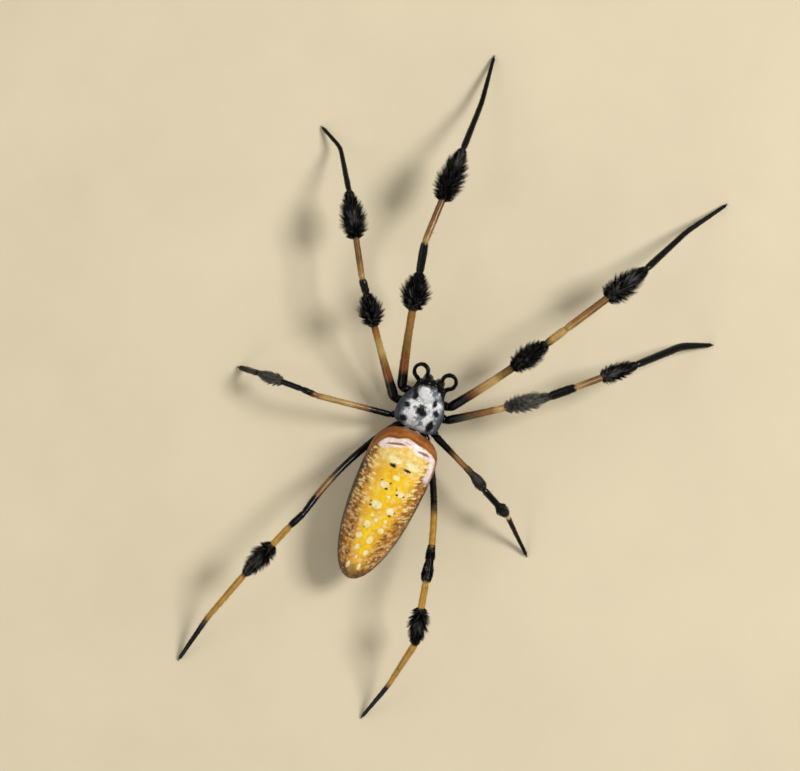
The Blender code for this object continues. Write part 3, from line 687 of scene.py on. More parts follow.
def buildClaws():
    # three small hooks at each foot: a tapering arc bending down to the floor
    parts = []
    arc = np.linspace(0.0, 1.0, 9)
    for name in legs:
        path = legLine(name)["path"]
        tip = path[-1]
        way = unit(tip - path[-4])
        ahead = unit(way * [1, 1, 0])
        side = np.cross(ahead, upward)
        for lean, size in clawShape["hooks"]:
            reach = clawShape["length"] * size * np.sin(arc * 1.9) / 0.95
            hook = tip - way * 0.12 + unit(ahead + side * lean) * reach[:, None]
            hook[:, 2] = tip[2] - 0.01 + 0.06 * np.sin(arc * math.pi) - (tip[2] - 0.05) * arc**1.6
            parts.append(tubePart(hook, clawShape["radius"] * size * (1.0 - 0.8 * arc**1.2), 10))
    fit(addMesh("foot_claws", *joinParts(parts), tints["black"]), legSkin, "leg_black")


buildClaws()

# abdomen
abdomen = {
    "length": 22.5, "halfWidth": 4.95, "halfDepth": 4.3, "widest": 0.25, "frontZ": 7.5, "tailZ": 5.6,
    "side": -0.36,  # how far it sits off the middle line
    "marks": 0.30,  # the markings' middle line lies this far to the right of the waist
    "coatDepth": 0.06, "rows": 330, "around": 300, "netting": (1.0, 1.25, 1.0),
}

# pale spots and dark dots: side (left plus) and distance back in millimetres, half width, half length
paleSpots = (
    (0.75, 4.75, 0.95, 0.50), (-1.95, 4.75, 0.95, 0.52), (-0.44, 6.95, 0.52, 0.36), (0.67, 8.45, 0.62, 0.52),
    (-1.90, 8.85, 0.62, 0.46), (-0.56, 9.85, 0.34, 0.26), (0.60, 11.45, 0.78, 0.60),
    (-1.60, 11.65, 0.60, 0.54), (0.45, 13.05, 0.26, 0.26), (-0.30, 13.5, 0.30, 0.30),
    (-1.60, 13.2, 0.32, 0.26), (0.60, 14.45, 0.50, 0.52), (-1.54, 14.65, 0.42, 0.42),
    (1.00, 16.35, 0.50, 0.46), (-0.65, 16.4, 0.40, 0.62), (0.56, 17.85, 0.36, 0.42),
    (-0.84, 18.3, 0.36, 0.42), (0.75, 20.7, 0.26, 0.48), (-0.80, 20.4, 0.22, 0.52), (0.1, 19.3, 0.18, 0.3),
)
darkDots = (
    (0.67, 5.56, 0.50, 0.24), (0.55, 5.40, 0.22, 0.22), (-1.52, 5.52, 0.46, 0.21), (-1.45, 5.40, 0.16, 0.14),
    (0.23, 8.92, 0.22, 0.17), (1.24, 8.00, 0.13, 0.10), (-0.06, 7.98, 0.12, 0.14), (-1.50, 9.15, 0.22, 0.15),
    (-1.16, 8.50, 0.11, 0.16), (-2.46, 9.05, 0.10, 0.13), (1.30, 11.82, 0.16, 0.16),
    (1.42, 11.30, 0.10, 0.13), (-1.77, 12.25, 0.24, 0.13), (-2.26, 11.60, 0.12, 0.10),
    (0.86, 15.0, 0.08, 0.08),
)
frontBand = {  # the pale band's front and rear line at each distance to the side, and its slanted dashes
    "side": (-4.6, -4.0, -3.7, -2.6, -1.5, -0.8, 0.2, 0.9, 1.5, 2.2, 2.9, 3.4, 3.8, 4.4),
    "front": (2.7, 2.2, 2.05, 1.76, 1.56, 1.42, 1.32, 1.52, 1.88, 1.98, 2.25, 2.75, 3.4, 4.6),
    "rear": (3.9, 3.5, 3.22, 3.03, 2.76, 2.40, 2.50, 2.85, 3.12, 3.25, 3.80, 3.9, 3.7, 4.4),
    "dashes": ((1.50, 2.50, 1.25, 0.19, 0.16), (-2.45, 2.07, 0.95, 0.20, 0.22), (0.0, 1.95, 0.5, 0.06, 0.0)),
}
flanks = {
    "back": (0, 4, 6, 9, 12, 14, 16, 18, 20, 21.5, 22.5),  # distances back
    "gold": (3.2, 3.4, 3.35, 3.2, 2.8, 2.4, 2.05, 1.62, 1.22, 0.75, 0.2),  # the golden back's half width
    "goldMiddle": -0.2,
    "lean": (6, 24),  # of the strokes on the left and on the right, in degrees
    "strokeLong": 1.15, "strokeShort": 0.34,
}


def abdomenSwell(share):
    # fullness along the abdomen: (1 - u^3.4)^0.43 in front of the widest place and (1 - u^2.3)^0.5 behind it
    widest = abdomen["widest"]
    front = np.clip((widest - share) / widest, 0, 1)
    rear = np.clip((share - widest) / (1 - widest), 0, 1)
    return np.where(share < widest, (1 - front**3.4) ** 0.43, (1 - rear**2.3) ** 0.50)


def middleHeight(share):
    # the middle line falls as share^1.5 from the front to the tail
    return abdomen["frontZ"] + (abdomen["tailZ"] - abdomen["frontZ"]) * share**1.5


def abdomenPoint(share, turn, inset):
    # an upright oval round the drooping middle line, a little flatter below, with soft folds along the flanks
    swell = abdomenSwell(share)
    wide = np.maximum(abdomen["halfWidth"] * swell - inset, 0.0)
    deep = np.maximum(abdomen["halfDepth"] * swell * (1 - 0.10 * share) - inset, 0.0)
    flatter = np.where(np.sin(turn) < 0, 0.92, 1.0)
    along = share * abdomen["length"]
    flank = bell(np.abs(np.cos(turn)) - 0.93, 0.10)
    fold = 1 - 0.006 * flank * np.sin(turn * 34 + 1.5 * np.sin(along * 0.7))
    fold = fold - 0.004 * np.sin(along * 2.4) * flank
    x = abdomen["side"] + wide * fold * np.cos(turn)
    return np.stack([x, along, middleHeight(share) + deep * flatter * fold * np.sin(turn)], -1)


def ovals(x, y, table, edge, wobble):
    # the strongest of several soft ovals at each point
    strength = np.zeros(len(x))
    for side, back, halfWidth, halfLength, *slant in table:
        dx = x - side
        dy = y - back - dx * sum(slant) if slant else y - back
        away = np.sqrt((dx / halfWidth) ** 2 + (dy / halfLength) ** 2) + wobble
        strength = np.maximum(strength, 1 - smooth(1 - edge, 1 + edge, away))
    return strength


def slanted(along, arc, side, seed):
    # short strokes leaning outward and forward over the flank: cells stretched along a line at the lean
    lean = np.radians(np.where(side > 0, *flanks["lean"]))
    long = (arc * np.cos(lean) - along * np.sin(lean)) / flanks["strokeLong"]
    short = (arc * np.sin(lean) + along * np.cos(lean)) / flanks["strokeShort"]
    near, _, value = cells(np.stack([long, short, side * 3.0], 1), 1.0, seed)
    return smooth(0.52, 0.38, near) * smooth(0.22, 0.32, value)


def abdomenColour(points):
    # brown-orange front, pale band, golden back with pale spots and dark dots, streaked flanks, dark below
    share = np.clip(points[:, 1] / abdomen["length"], 0, 1)
    swell = abdomenSwell(share)
    x, y = points[:, 0] + abdomen["marks"], points[:, 1]
    centred, lifted = points[:, 0] - abdomen["side"], points[:, 2] - middleHeight(share)
    above = lifted / np.maximum(abdomen["halfDepth"] * swell, 0.2)
    across = np.abs(centred) / np.maximum(abdomen["halfWidth"] * swell, 0.2)
    noises = ((1.5, 3), (0.45, 4), (0.18, 8), (0.10, 9))
    broad, small, tiny, speck = [cloud(points, size, seed) for size, seed in noises]
    _, gap, value = cells(points * abdomen["netting"], 0.42, 21)
    edge = np.interp(y, flanks["back"], flanks["gold"])
    outside = np.abs(x - flanks["goldMiddle"]) - edge + 0.5 * (small - 0.5) + 0.7 * (broad - 0.5)
    netZone = (1 - smooth(4.2, 6.8, y + 0.9 * (broad - 0.5))) * smooth(0.6, -0.8, outside)
    flank = np.maximum(smooth(-0.45, 0.85, outside), smooth(0.35, 0.05, above))
    # dark edges, reaching a little further in on the left as painted shade, and a darker tail
    dark = smooth(0.78, 0.97, across + 0.08 * (broad - 0.5) + 0.03 * np.sign(x))
    dark = dark + 0.7 * smooth(19.8, 22.3, y + 0.6 * (small - 0.5))
    colour = washes(
        paint(254, 206, 16),  # gold, brightest along the middle, turning amber towards the flanks
        ((240, 176, 22), smooth(0.35, 0.75, broad) * 0.65),
        ((255, 228, 70), smooth(0.52, 0.80, small) * 0.55),
        ((230, 164, 44), smooth(-1.7, -0.1, outside) * 0.80),
        ((244, 204, 104), netZone * 0.9),  # netted peach zone behind the pale band
        ((254, 234, 168), netZone * smooth(0.08, 0.30, gap) * smooth(0.2, 0.8, value) * 0.9),
        ((184, 114, 38), flank * 0.90),  # flanks: amber into brown, dark at the edges, the left edge darker still by painted shade
        ((136, 76, 30), flank * smooth(0.38, 0.70, small) * 0.65),
        ((74, 42, 18), np.clip(dark, 0, 1) * 0.88 * smooth(0.0, 0.5, flank)),
    )
    # the flanks' short strokes, dark and pale, which turn to flecks towards the tail
    arc = (math.pi / 2 - np.arctan2(lifted, np.abs(centred))) * 4.4
    stroke, furrow = [slanted(y, arc, np.where(centred > 0, 1.0, -1.0), seed) for seed in (35, 36)]
    front, ahead = smooth(15.0, 8.0, y), smooth(21.2, 19.6, y)
    furrow = furrow * smooth(-0.7, 0.3, outside) * (1 - netZone)
    zone = smooth(-1.3, -0.3, outside) * smooth(1.00, 0.86, across + 0.05 * (broad - 0.5))
    fleck = smooth(0.12, 0.24, gap) * smooth(0.50, 0.62, value) * smooth(0.35, 0.5, tiny)
    # brown brink at the edges, a little wider on the left as painted shade, and at the tail
    brinkAndSideShade = smooth(0.89, 0.98, across + 0.04 * (broad - 0.5) + 0.012 * np.sign(x))
    brinkAndSideShade = brinkAndSideShade + 0.8 * smooth(19.6, 21.6, y + 0.9 * (small - 0.5))
    # pale spots, each with a thin brown edge, and dots
    wobble = 0.34 * (small - 0.5) + 0.40 * (tiny - 0.5) + 0.16 * (speck - 0.5)
    blotch, _, blotchValue = cells(points, 1.0, 77)
    pale = smooth(0.44, 0.28, blotch + wobble * 0.35) * smooth(0.25, 0.4, blotchValue)
    pale = pale * smooth(0.2, -0.5, outside)
    spots = ovals(x, y, paleSpots, 0.20, wobble)
    ring = ovals(x, y, [(a, b, c + 0.10, d + 0.10) for a, b, c, d in paleSpots[3:]], 0.14, wobble)
    # pale band between two wavy lines and the rim in front of it
    wave = frontBand["side"]
    rimLine = y - np.interp(x, wave, frontBand["front"]) - 0.14 * (broad - 0.5) - 0.10 * (small - 0.5)
    bandLine = y - np.interp(x, wave, frontBand["rear"]) - 0.30 * (small - 0.5)
    rightMargin = smooth(-3.75, -4.15, x) * (1 - smooth(5.0, 6.6, y)) * (y > 2.0)
    band = smooth(-0.10, 0.10, rimLine) * np.maximum(1 - smooth(-0.16, 0.16, bandLine), rightMargin)
    band = band * (1 - smooth(3.65, 4.0, x)) * (above > 0.15)
    dashes = ovals(x, y - 0.05 * x * x, frontBand["dashes"], 0.30, wobble * 0.5)
    colour = washes(
        colour,
        ((92, 50, 18), furrow * ahead * 0.70),
        ((255, 234, 160), stroke * zone * ahead * (0.42 + 0.50 * front)),
        ((244, 208, 142), flank * fleck * (0.85 - 0.45 * front) * smooth(1.02, 0.88, across)),
        ((66, 36, 16), np.clip(brinkAndSideShade, 0, 1) * 0.80),
        ((252, 214, 140), pale * 0.80 * (above > 0)),
        ((196, 128, 26), ring * (1 - spots) * 0.55 * (above > 0)),
        ((255, 242, 180), spots * (0.66 + 0.34 * smooth(0.35, 0.6, tiny)) * (above > 0)),
        ((16, 11, 7), ovals(x, y, darkDots, 0.24, wobble) * (above > 0)),
        ((248, 224, 214), band * 0.96),
        ((255, 247, 245), band * smooth(0.4, 0.65, small) * 0.8),
        ((156, 98, 30), dashes * band * 0.95),
    )
    rim = 1 - smooth(-0.10, 0.10, rimLine)
    sideRim = smooth(0.90, 0.97, across) * (1 - smooth(4.5, 7.5, y)) * smooth(-0.35, -0.05, above)
    rimTone = washes(
        paint(160, 90, 26),
        ((122, 64, 20), smooth(0.40, 0.75, broad) * 0.7),
        ((186, 118, 44), smooth(0.35, 0.95, 1 - np.abs(rimLine + 0.60) / 0.6) * 0.6),
        ((78, 44, 20), smooth(0.45, -0.30, above + 0.30 * (small - 0.5)) * 0.85),
    )
    # underside: dark brown with pale flecks and two pale lines
    lines = bell(np.abs(x) - 1.5 - 0.3 * (small - 0.5), 0.22) * (y > 5.5) * (y < 17.5)
    belly = washes(
        paint(74, 46, 26),
        ((38, 24, 14), smooth(0.4, 0.7, broad)),
        ((214, 168, 84), np.clip(lines * 0.8 + fleck * 0.45 * smooth(1.8, 3.6, y), 0, 1)),
    )
    colour = blendTo(colour, rimTone, np.clip(rim + sideRim, 0, 1))
    return np.clip(blendTo(colour, belly, smooth(-0.25, -0.60, above)), 0.003, 1.0)


def abdomenSkin():
    # leathery skin: its marks, fine netting as bump and a soft uneven shine
    material = newMaterial("abdomenSkin", 0.38, 0.10, 0.0, 0.35)
    colour, spots = marked(material, "skinColour", ((1400.0, 0.86, 1.14), (6000.0, 0.90, 1.10, 2.0)))
    bumps = (("DISTANCE_TO_EDGE", 4200.0, 0.03, 0.5), (4.0, 5200.0, 0.03, 0.5))
    return finishWith(material, colour, spots, bumps, (1800.0, 0.30, 0.50))


def buildAbdomen():
    # the closed oval skin with pressed-in dots, swollen pale spots, fine netting and a furrow on the belly
    rows, around = abdomen["rows"], abdomen["around"]
    share = 0.5 - 0.5 * np.cos(np.linspace(0.012, 0.990, rows) * math.pi)
    share, turn = np.meshgrid(share, circle(around), indexing="ij")
    skin = abdomenPoint(share, turn, abdomen["coatDepth"]).reshape(-1, 3)
    turn = turn.ravel()
    x, y = skin[:, 0] + abdomen["marks"], skin[:, 1]
    upper = np.sin(turn) > 0
    relief = 0.035 * (ovals(x, y, paleSpots, 0.5, 0.0) * upper)
    relief = relief - 0.10 * (ovals(x, y, darkDots, 0.5, 0.0) * upper)
    relief = relief + 0.012 * (smooth(0, 0.3, cells(skin * abdomen["netting"], 0.42, 21)[1]) - 0.5)
    relief = relief + 0.03 * (cloud(skin, 1.1, 17) - 0.5)
    furrow = bell(y - 4.6 - 0.05 * x * x, 0.16) * ~upper * (np.abs(x) < 3.2)
    out = np.stack([np.cos(turn), 0 * turn, np.sin(turn)], -1)
    skin = (skin + out * (relief - 0.10 * furrow)[:, None]).reshape(rows, around, 3)
    points, quads, tris = closedGrid(skin, (abdomen["side"], 0.0, abdomen["frontZ"]),
                                     (abdomen["side"], abdomen["length"] - 0.03, abdomen["tailZ"]))
    piece = addMesh("abdomen_skin", points, quads, tris, abdomenColour(points))
    fit(piece, abdomenSkin(), "abdomen_gold", "abdomen")


backHair = coatMaterial("backHair", 0.5, 0.03, 0.2)
abdomenHairs = {"count": 9000, "length": (0.20, 0.42), "width": 0.022, "lift": (12, 34), "middle": (9.0, 6.9)}


def buildAbdomenHairs():
    # short hairs lying back along the abdomen, coloured as the skin under them
    rng = np.random.default_rng(91)
    number = abdomenHairs["count"]
    share = rng.uniform(0.01, 0.985, number)
    turn = rng.uniform(0, fullTurn, number)
    steps = ((0.0, 0.0), (0.004, 0.0), (0.0, 0.01))
    root, ahead, beside = [abdomenPoint(share + a, turn + b, abdomen["coatDepth"] + 0.01) for a, b in steps]
    back = unit(ahead - root)
    out = unit(np.cross(back, beside - root))
    out = out * np.sign((out * (root - [abdomen["side"], *abdomenHairs["middle"]])).sum(1))[:, None]
    lay = back + 0.25 * rng.normal(size=(number, 1)) * np.cross(back, out)
    length = rng.uniform(*abdomenHairs["length"], number)
    lift = np.radians(rng.uniform(*abdomenHairs["lift"], number))
    colour = np.clip(abdomenColour(root) * rng.uniform(0.85, 1.35, (number, 1)) + 0.01, 0, 1)
    uv = np.stack([turn / fullTurn, share], 1)
    width = abdomenHairs["width"]
    hairs = growHairs("abdomen_hairs", root, out, lay, length, width, lift, 0.4, colour, uv, 1.2)
    fit(hairs, backHair, "abdomen_gold")


buildAbdomen()
buildAbdomenHairs()
print("abdomen done")

# carapace
carapace = {
    "frontY": -7.6, "rearY": -0.15, "halfWidth": 3.42, "headHalfWidth": 2.3, "baseZ": 4.95, "thorax": 2.0,
    "head": 2.75, "rim": 0.22, "groove": 0.22, "fovea": 0.35, "coatDepth": 0.05, "rows": 150, "across": 121,
}
shadows = (  # dark patches: side, y, half width, half length and slant; the first six are pressed in
    (1.50, -4.75, 0.34, 0.74, 0.0), (-1.44, -4.66, 0.32, 0.58, 0.0), (2.06, -3.15, 0.48, 0.44, 0.0),
    (-2.16, -3.50, 0.46, 0.44, 0.0), (1.77, -1.20, 0.60, 0.52, 0.0), (-1.98, -1.50, 0.52, 0.88, 0.2),
    (-0.12, -2.95, 0.86, 0.66, 0.0), (0.02, -3.72, 0.66, 0.18, 0.0), (0.98, -3.2, 0.22, 0.2, 0.0),
    (1.98, -6.0, 0.30, 0.50, 0.0), (1.74, -5.35, 0.26, 0.50, 0.0),
)
greys = (  # softer blue-grey patches
    (-1.85, -1.35, 0.85, 1.15, 0.2), (0.10, -6.30, 1.60, 0.42, 0.0), (-1.80, -5.75, 0.60, 0.75, 0.0),
    (2.75, -2.6, 0.55, 1.7, 0.0), (-0.10, -2.25, 0.75, 0.60, 0.0), (2.3, -4.9, 0.45, 0.9, 0.0),
    (1.85, -1.25, 0.80, 0.70, 0.0), (-2.9, -2.6, 0.40, 1.4, 0.0),
)
lights = (  # brightest patches
    (0.55, -5.7, 0.7, 0.6, 0.0), (-0.1, -4.7, 1.0, 0.75, 0.0), (1.1, -2.1, 0.8, 0.9, 0.3),
    (-2.1, -4.55, 0.55, 0.4, 0.3), (1.35, -3.7, 0.6, 0.4, 0.0), (-1.0, -0.75, 0.9, 0.35, 0.3),
    (0.8, -0.75, 0.9, 0.3, -0.3), (-1.35, -2.1, 0.5, 0.7, 0.2),
)


def shellWidth(share):
    # narrow rounded head, then an s-shaped swell to the widest place, then a square-shouldered rear
    head = carapace["headHalfWidth"] * (1 - (1 - np.clip(share / 0.16, 0, 1)) ** 2.4) ** 0.5
    swell = 0.5 - 0.5 * np.cos(math.pi * np.clip((share - 0.16) / 0.46, 0, 1))
    rear = (1 - np.clip((share - 0.62) / 0.38, 0, 1) ** 5.0) ** 0.35
    return head + (carapace["halfWidth"] * rear - head) * swell


def shellHeight(x, share):
    # high head and lower thorax, both domed across, with the neck groove and the central pit pressed in
    back = 0.5 - 0.5 * np.cos(math.pi * np.clip((share - 0.22) / 0.30, 0, 1))
    crown = carapace["head"] + (carapace["thorax"] - carapace["head"]) * back
    brow = (1 - (1 - np.clip(share / 0.15, 0, 1)) ** 2.0) ** 0.5
    fall = (1 - np.clip((share - 0.62) / 0.38, 0, 1) ** 2.2) ** 0.6
    across = np.clip(np.abs(x) / np.maximum(shellWidth(share), 1e-6), 0, 1)
    dome = (1 - across**2.3) ** 0.62
    groove = carapace["groove"] * bell(share - 0.50 + 0.085 * np.abs(x), 0.045)
    fovea = carapace["fovea"] * np.exp(-((x / 0.45) ** 2) - ((share - 0.66) / 0.06) ** 2)
    top = crown * (0.35 + 0.65 * brow) * fall * dome
    return carapace["rim"] + np.maximum(top - (groove + fovea) * dome, 0.0)


def shellPoint(share, side):
    # the shell at a share of its length and a side from -1 to 1
    x = np.maximum(shellWidth(share) - carapace["coatDepth"], 0.05) * side
    y = carapace["frontY"] + share * (carapace["rearY"] - carapace["frontY"])
    return np.stack([x, y + 0 * x, carapace["baseZ"] + shellHeight(x, share) - carapace["coatDepth"]], -1)


def shellColour(points):
    # black shell greyed by down: bright patches, dark spots, blue-grey margins, wider on the left as painted
    # shade, and a bare black front
    x, y = points[:, 0], points[:, 1]
    broad, small, tiny = [cloud(points, size, seed) for size, seed in ((1.1, 43), (0.38, 44), (0.16, 45))]
    wobble = 0.35 * (small - 0.5) + 0.3 * (tiny - 0.5)
    share = np.clip((y - carapace["frontY"]) / (carapace["rearY"] - carapace["frontY"]), 0.01, 0.99)
    across = np.abs(x) / np.maximum(shellWidth(share), 0.3)
    colour = washes(
        paint(186, 190, 190),
        ((96, 103, 110), smooth(0.46, 0.68, broad) * 0.85),
        ((244, 246, 244), smooth(0.50, 0.70, small) * 0.75),
        ((44, 47, 52), smooth(0.60, 0.76, tiny) * 0.60),
        ((78, 88, 96), ovals(x, y, greys, 0.70, wobble * 1.6) * 0.80),
        ((255, 255, 250), ovals(x, y, lights, 0.40, wobble * 1.3)),
        ((62, 66, 72), smooth(0.62, 0.76, tiny) * 0.55),
        # blue-grey margins, reaching further in on the left as painted shade
        ((38, 44, 54), smooth(0.60, 0.90, across + 0.16 * (small - 0.5) + 0.05 * np.sign(x)) * 0.92),
        ((24, 26, 30), smooth(0.93, 1.0, across) * 0.9),
        ((8, 8, 12), ovals(x, y, shadows, 0.24, wobble * 1.2) * 0.98),
        ((10, 9, 10), smooth(-6.48, -6.84, y + 0.35 * (small - 0.5) - 0.22 * x * x) * 0.99),
        ((26, 26, 28), smooth(0.42, 0.12, points[:, 2] - carapace["baseZ"]) * 0.9),
    )
    return np.clip(colour, 0.003, 1.0)


def buildCarapace():
    # the domed shell with a faint roughness and pressed-in dark patches, closed below by a hollow floor
    rows, across = carapace["rows"], carapace["across"]
    share = 0.5 - 0.5 * np.cos(np.linspace(0.055, 0.962, rows) * math.pi)
    sweep = np.linspace(0, math.pi, across)
    upper = shellPoint(share[:, None], np.cos(sweep)[None])
    spots = upper.reshape(-1, 3)
    relief = 0.045 * (cloud(spots, 0.5, 51) - 0.5) + 0.025 * (cloud(spots, 0.2, 52) - 0.5)
    relief = relief - 0.10 * ovals(spots[:, 0], spots[:, 1], shadows[:6], 0.6, 0.0)
    upper[..., 2] += relief.reshape(rows, across) * np.sin(sweep)[None] ** 0.5
    lower = upper[:, -2:0:-1].copy()
    lower[..., 2] = carapace["baseZ"] + 0.03 + 0.075 * np.sin(sweep)[None, -2:0:-1]
    grid = np.concatenate([upper, lower], 1)
    points, quads, tris = closedGrid(grid, grid[0].mean(0), grid[-1].mean(0))
    skin = cuticle("carapaceShell", 0.42, 0.0, 1500.0, 0.78, 1.2, 0.016, 0.08)
    shell = addMesh("carapace_shell", points, quads, tris, shellColour(points))
    fit(shell, skin, "carapace_silver", "carapace")


downHair = coatMaterial("downHair", 0.5, 0.30, 0.3)
down = {"count": 15000, "length": (0.20, 0.42), "width": 0.066, "lift": (3, 15)}


def shellFrame(share, side):
    # the point, outward line and backward line of the shell at each share of its length and side
    root = shellPoint(share, side)
    ahead = shellPoint(share + 0.006, side) - root
    out = unit(np.cross(ahead, shellPoint(share, side * 0.98 + 0.0002) - root))
    return root, out * np.where(out[:, 2:] < 0, -1.0, 1.0), unit(ahead)


def buildDown():
    # flat silvery hairs lying back and out over the shell, few over the dark patches and none on the face
    rng = np.random.default_rng(67)
    number = down["count"]
    share = 0.06 + 0.92 * rng.uniform(0, 1, number)
    side = np.cos(rng.uniform(0.05, math.pi - 0.05, number)) * 0.985
    root, out, _ = shellFrame(share, side)
    colour = shellColour(root)
    often = np.clip(0.20 + colour.mean(1) * 1.6, 0, 1) * (1 - 0.9 * smooth(0.17, 0.10, share))
    keep = rng.uniform(0, 1, number) < often
    swirl = np.stack([0.55 * side, np.ones(number), 0 * side], 1) + 0.30 * rng.normal(size=(number, 3))
    lay = swirl - out * (swirl * out).sum(1)[:, None]
    length = rng.uniform(*down["length"], number) * (0.6 + 0.4 * smooth(0.1, 0.3, share))
    lift = np.radians(rng.uniform(*down["lift"], number))
    tone = np.clip(colour * rng.uniform(0.9, 2.3, (number, 1)), 0, 1)
    width = down["width"] * rng.uniform(0.6, 1.1, number)
    uv = np.stack([0.5 + 0.48 * side, share * 0.98], 1)
    root, out, lay, length, width, lift, tone, uv = [
        row[keep] for row in (root + out * 0.005, out, lay, length, width, lift, tone, uv)]
    hairs = growHairs("carapace_down", root, out, lay, length, width, lift, 0.5, tone, uv, 1.15, 0.20)
    hairs.data.shade_flat()  # flat scale-like hairs, which catch the light whole
    fit(hairs, downHair, "carapace_silver")


face = {"count": 1500, "onWall": 420, "length": (0.16, 0.40), "width": 0.030, "lift": (30, 62)}


def buildFace():
    # short black bristles over the bare front of the head, leaning back between the eyes and down below them
    rng = np.random.default_rng(73)
    number = face["count"]
    share = rng.uniform(0.006, 0.15, number)
    side = rng.uniform(-0.96, 0.96, number)
    wall = np.arange(number) < face["onWall"]
    share[wall] = 0.0075
    root, out, ahead = shellFrame(share, side)
    drop = wall * rng.uniform(0.04, 1.0, number)
    root[:, 2] -= drop * (root[:, 2] - carapace["baseZ"] - 0.05)
    out = np.where(wall[:, None], [0.0, -1.0, 0.0], out)
    ahead = np.where(wall[:, None], [0.0, 0.0, -1.0], ahead)
    tone = tints["black"] * rng.uniform(0.6, 1.8, (number, 1))
    lay = ahead + 0.35 * rng.normal(size=(number, 3))
    lay = lay - out * (lay * out).sum(1)[:, None]
    length = rng.uniform(*face["length"], number)
    lift = np.radians(rng.uniform(*face["lift"], number))
    uv = np.stack([0.5 + 0.48 * side, 0.1 + share * 5.8 - 0.1 * drop], 1)
    root = root - out * 0.01
    hairs = growHairs("face_bristles", root, out, lay, length, face["width"], lift, 0.3, tone, uv, 1.2)
    fit(hairs, hairBlack, "carapace_silver")


buildCarapace()
buildDown()
buildFace()
print("carapace done")

# eyes
eyes = {  # radius, and the place beside the middle and behind the front edge of the shell
    "front_middle": (0.19, 0.36, 0.16), "rear_middle": (0.19, 0.46, 0.66),
    "front_side": (0.16, 1.50, 0.42), "rear_side": (0.16, 1.72, 0.84),
}
eyeFit = {"sunk": 0.35, "rimRadius": 1.02, "rimThick": 0.20, "rimAhead": 0.12}  # as parts of the eye's radius


def eyeGloss():
    # very dark brown, uneven in depth, under a clear shine
    material = newMaterial("eyeGloss", 0.06, 1.0, 0.0, 0.6)
    spots = addNode(material, "TexCoord").outputs["Object"]
    depth = addNode(material, "TexNoise", {"Vector": spots, "Scale": 5000.0, "Detail": 2.0}).outputs["Fac"]
    ramp = addNode(material, "ValToRGB", {"Fac": depth})
    for stop, tone in zip(ramp.color_ramp.elements, ((0.004, 0.003, 0.003, 1), (0.020, 0.011, 0.006, 1))):
        stop.color = tone
    return finishWith(material, ramp.outputs["Color"], spots, ((2.0, 5000.0, 0.0005, 0.2),))


def buildEyes():
    # glossy dark globes, each in a low raised ring: a circle of circles square to the way the eye looks
    material = eyeGloss()
    tilt = np.linspace(-math.pi / 2, math.pi / 2, 26)[1:-1, None]
    turn, hoop, inner = circle(40), circle(48)[:, None, None], circle(12)[:, None]
    rims = []
    for label, (radius, aside, back) in eyes.items():
        for side, sign in (("left", 1.0), ("right", -1.0)):
            height = shellHeight(sign * aside, back / (carapace["rearY"] - carapace["frontY"]))
            z = carapace["baseZ"] + height - radius * eyeFit["sunk"]
            centre = np.array([sign * aside, carapace["frontY"] + back, z])
            up = radius * np.array(upward)
            flat = radius * np.cos(tilt)
            ball = np.stack([flat * np.cos(turn), flat * np.sin(turn), radius * np.sin(tilt) + 0 * turn], -1)
            globe = addMesh(f"eye_{label}_{side}_gloss", *closedGrid(centre + ball, centre - up, centre + up))
            fit(globe, material, "eye_black", f"eye_{label}_{side}")
            outward, ahead = 0.15 if "middle" in label else 0.8, -0.35 if "rear" in label else -0.85
            lean = unit(np.array([sign * outward, ahead, 0.75]))
            ringSide = unit(np.cross(lean, upward))
            radial = np.cos(hoop) * ringSide + np.sin(hoop) * np.cross(ringSide, lean)
            thick = radius * eyeFit["rimThick"]
            ring = radial * (radius * eyeFit["rimRadius"] + thick * np.cos(inner))
            ring = centre + lean * radius * eyeFit["rimAhead"] + (ring + lean * (thick * np.sin(inner)))
            rims.append((ring.reshape(-1, 3), gridQuads(48, 12, 48), np.zeros((0, 3), int)))
    fit(addMesh("eye_rims", *joinParts(rims), tints["black"]), legSkin, "carapace_silver")


buildEyes()

# jaws, fangs and palps
jaw = {
    "side": 0.80, "topZ": 4.80, "bottomZ": 2.35, "y": -7.56, "radius": 0.76,
    "fangLength": 1.0, "fangRadius": 0.23,
    "hairs": {"count": 1500, "length": (0.12, 0.26), "lift": (5, 13), "width": 0.034,
              "stretch": (0.04, 0.90)},  # the stretch of the tube that they cover
}
palp = {
    "radius": 0.27, "ring": 1.0, "centres": {"left": (2.22, -8.05), "right": (-1.98, -8.22)},
    "lowZ": 4.75, "topZ": 5.75, "joints": (0.30, 0.42, 0.60),  # joints as shares of its length
    "hairs": {"count": 1900, "length": (0.12, 0.30), "lift": (18, 46), "width": 0.038,
              "stretch": (0.05, 0.98)},
}
jawSkin = cuticle("jawShine", 0.26, 0.0, 1300.0, 0.85, 1.15, 0.006, 0.10)


def hairsOnTube(name, slotName, path, radius, seed, coat, guide=upward):
    # bristles all round a tube, lying towards its far end
    rng = np.random.default_rng(seed)
    number, rows = coat["count"], np.arange(len(path))
    index = rng.uniform(*coat["stretch"], number) * (len(path) - 1)
    turn = rng.uniform(0, fullTurn, number)
    way, side, top = [readAlong(index, rows, lines) for lines in pathFrame(path, guide)]
    out = unit(np.cos(turn)[:, None] * side + np.sin(turn)[:, None] * top)
    root = readAlong(index, rows, path) + out * (np.interp(index, rows, radius) - 0.01)[:, None]
    lay = unit(way) + 0.3 * rng.normal(size=(number, 3))
    lay = lay - out * (lay * out).sum(1)[:, None]
    length = rng.uniform(*coat["length"], number)
    colour = tints["black"] * rng.uniform(0.6, 1.4, (number, 1))
    lift = np.radians(rng.uniform(*coat["lift"], number))
    uv = np.stack([turn / fullTurn, index / len(path)], 1)
    hairs = growHairs(name, root, out, lay, length, coat["width"], lift, 0.35, colour, uv, 1.3)
    fit(hairs, hairBlack, slotName)


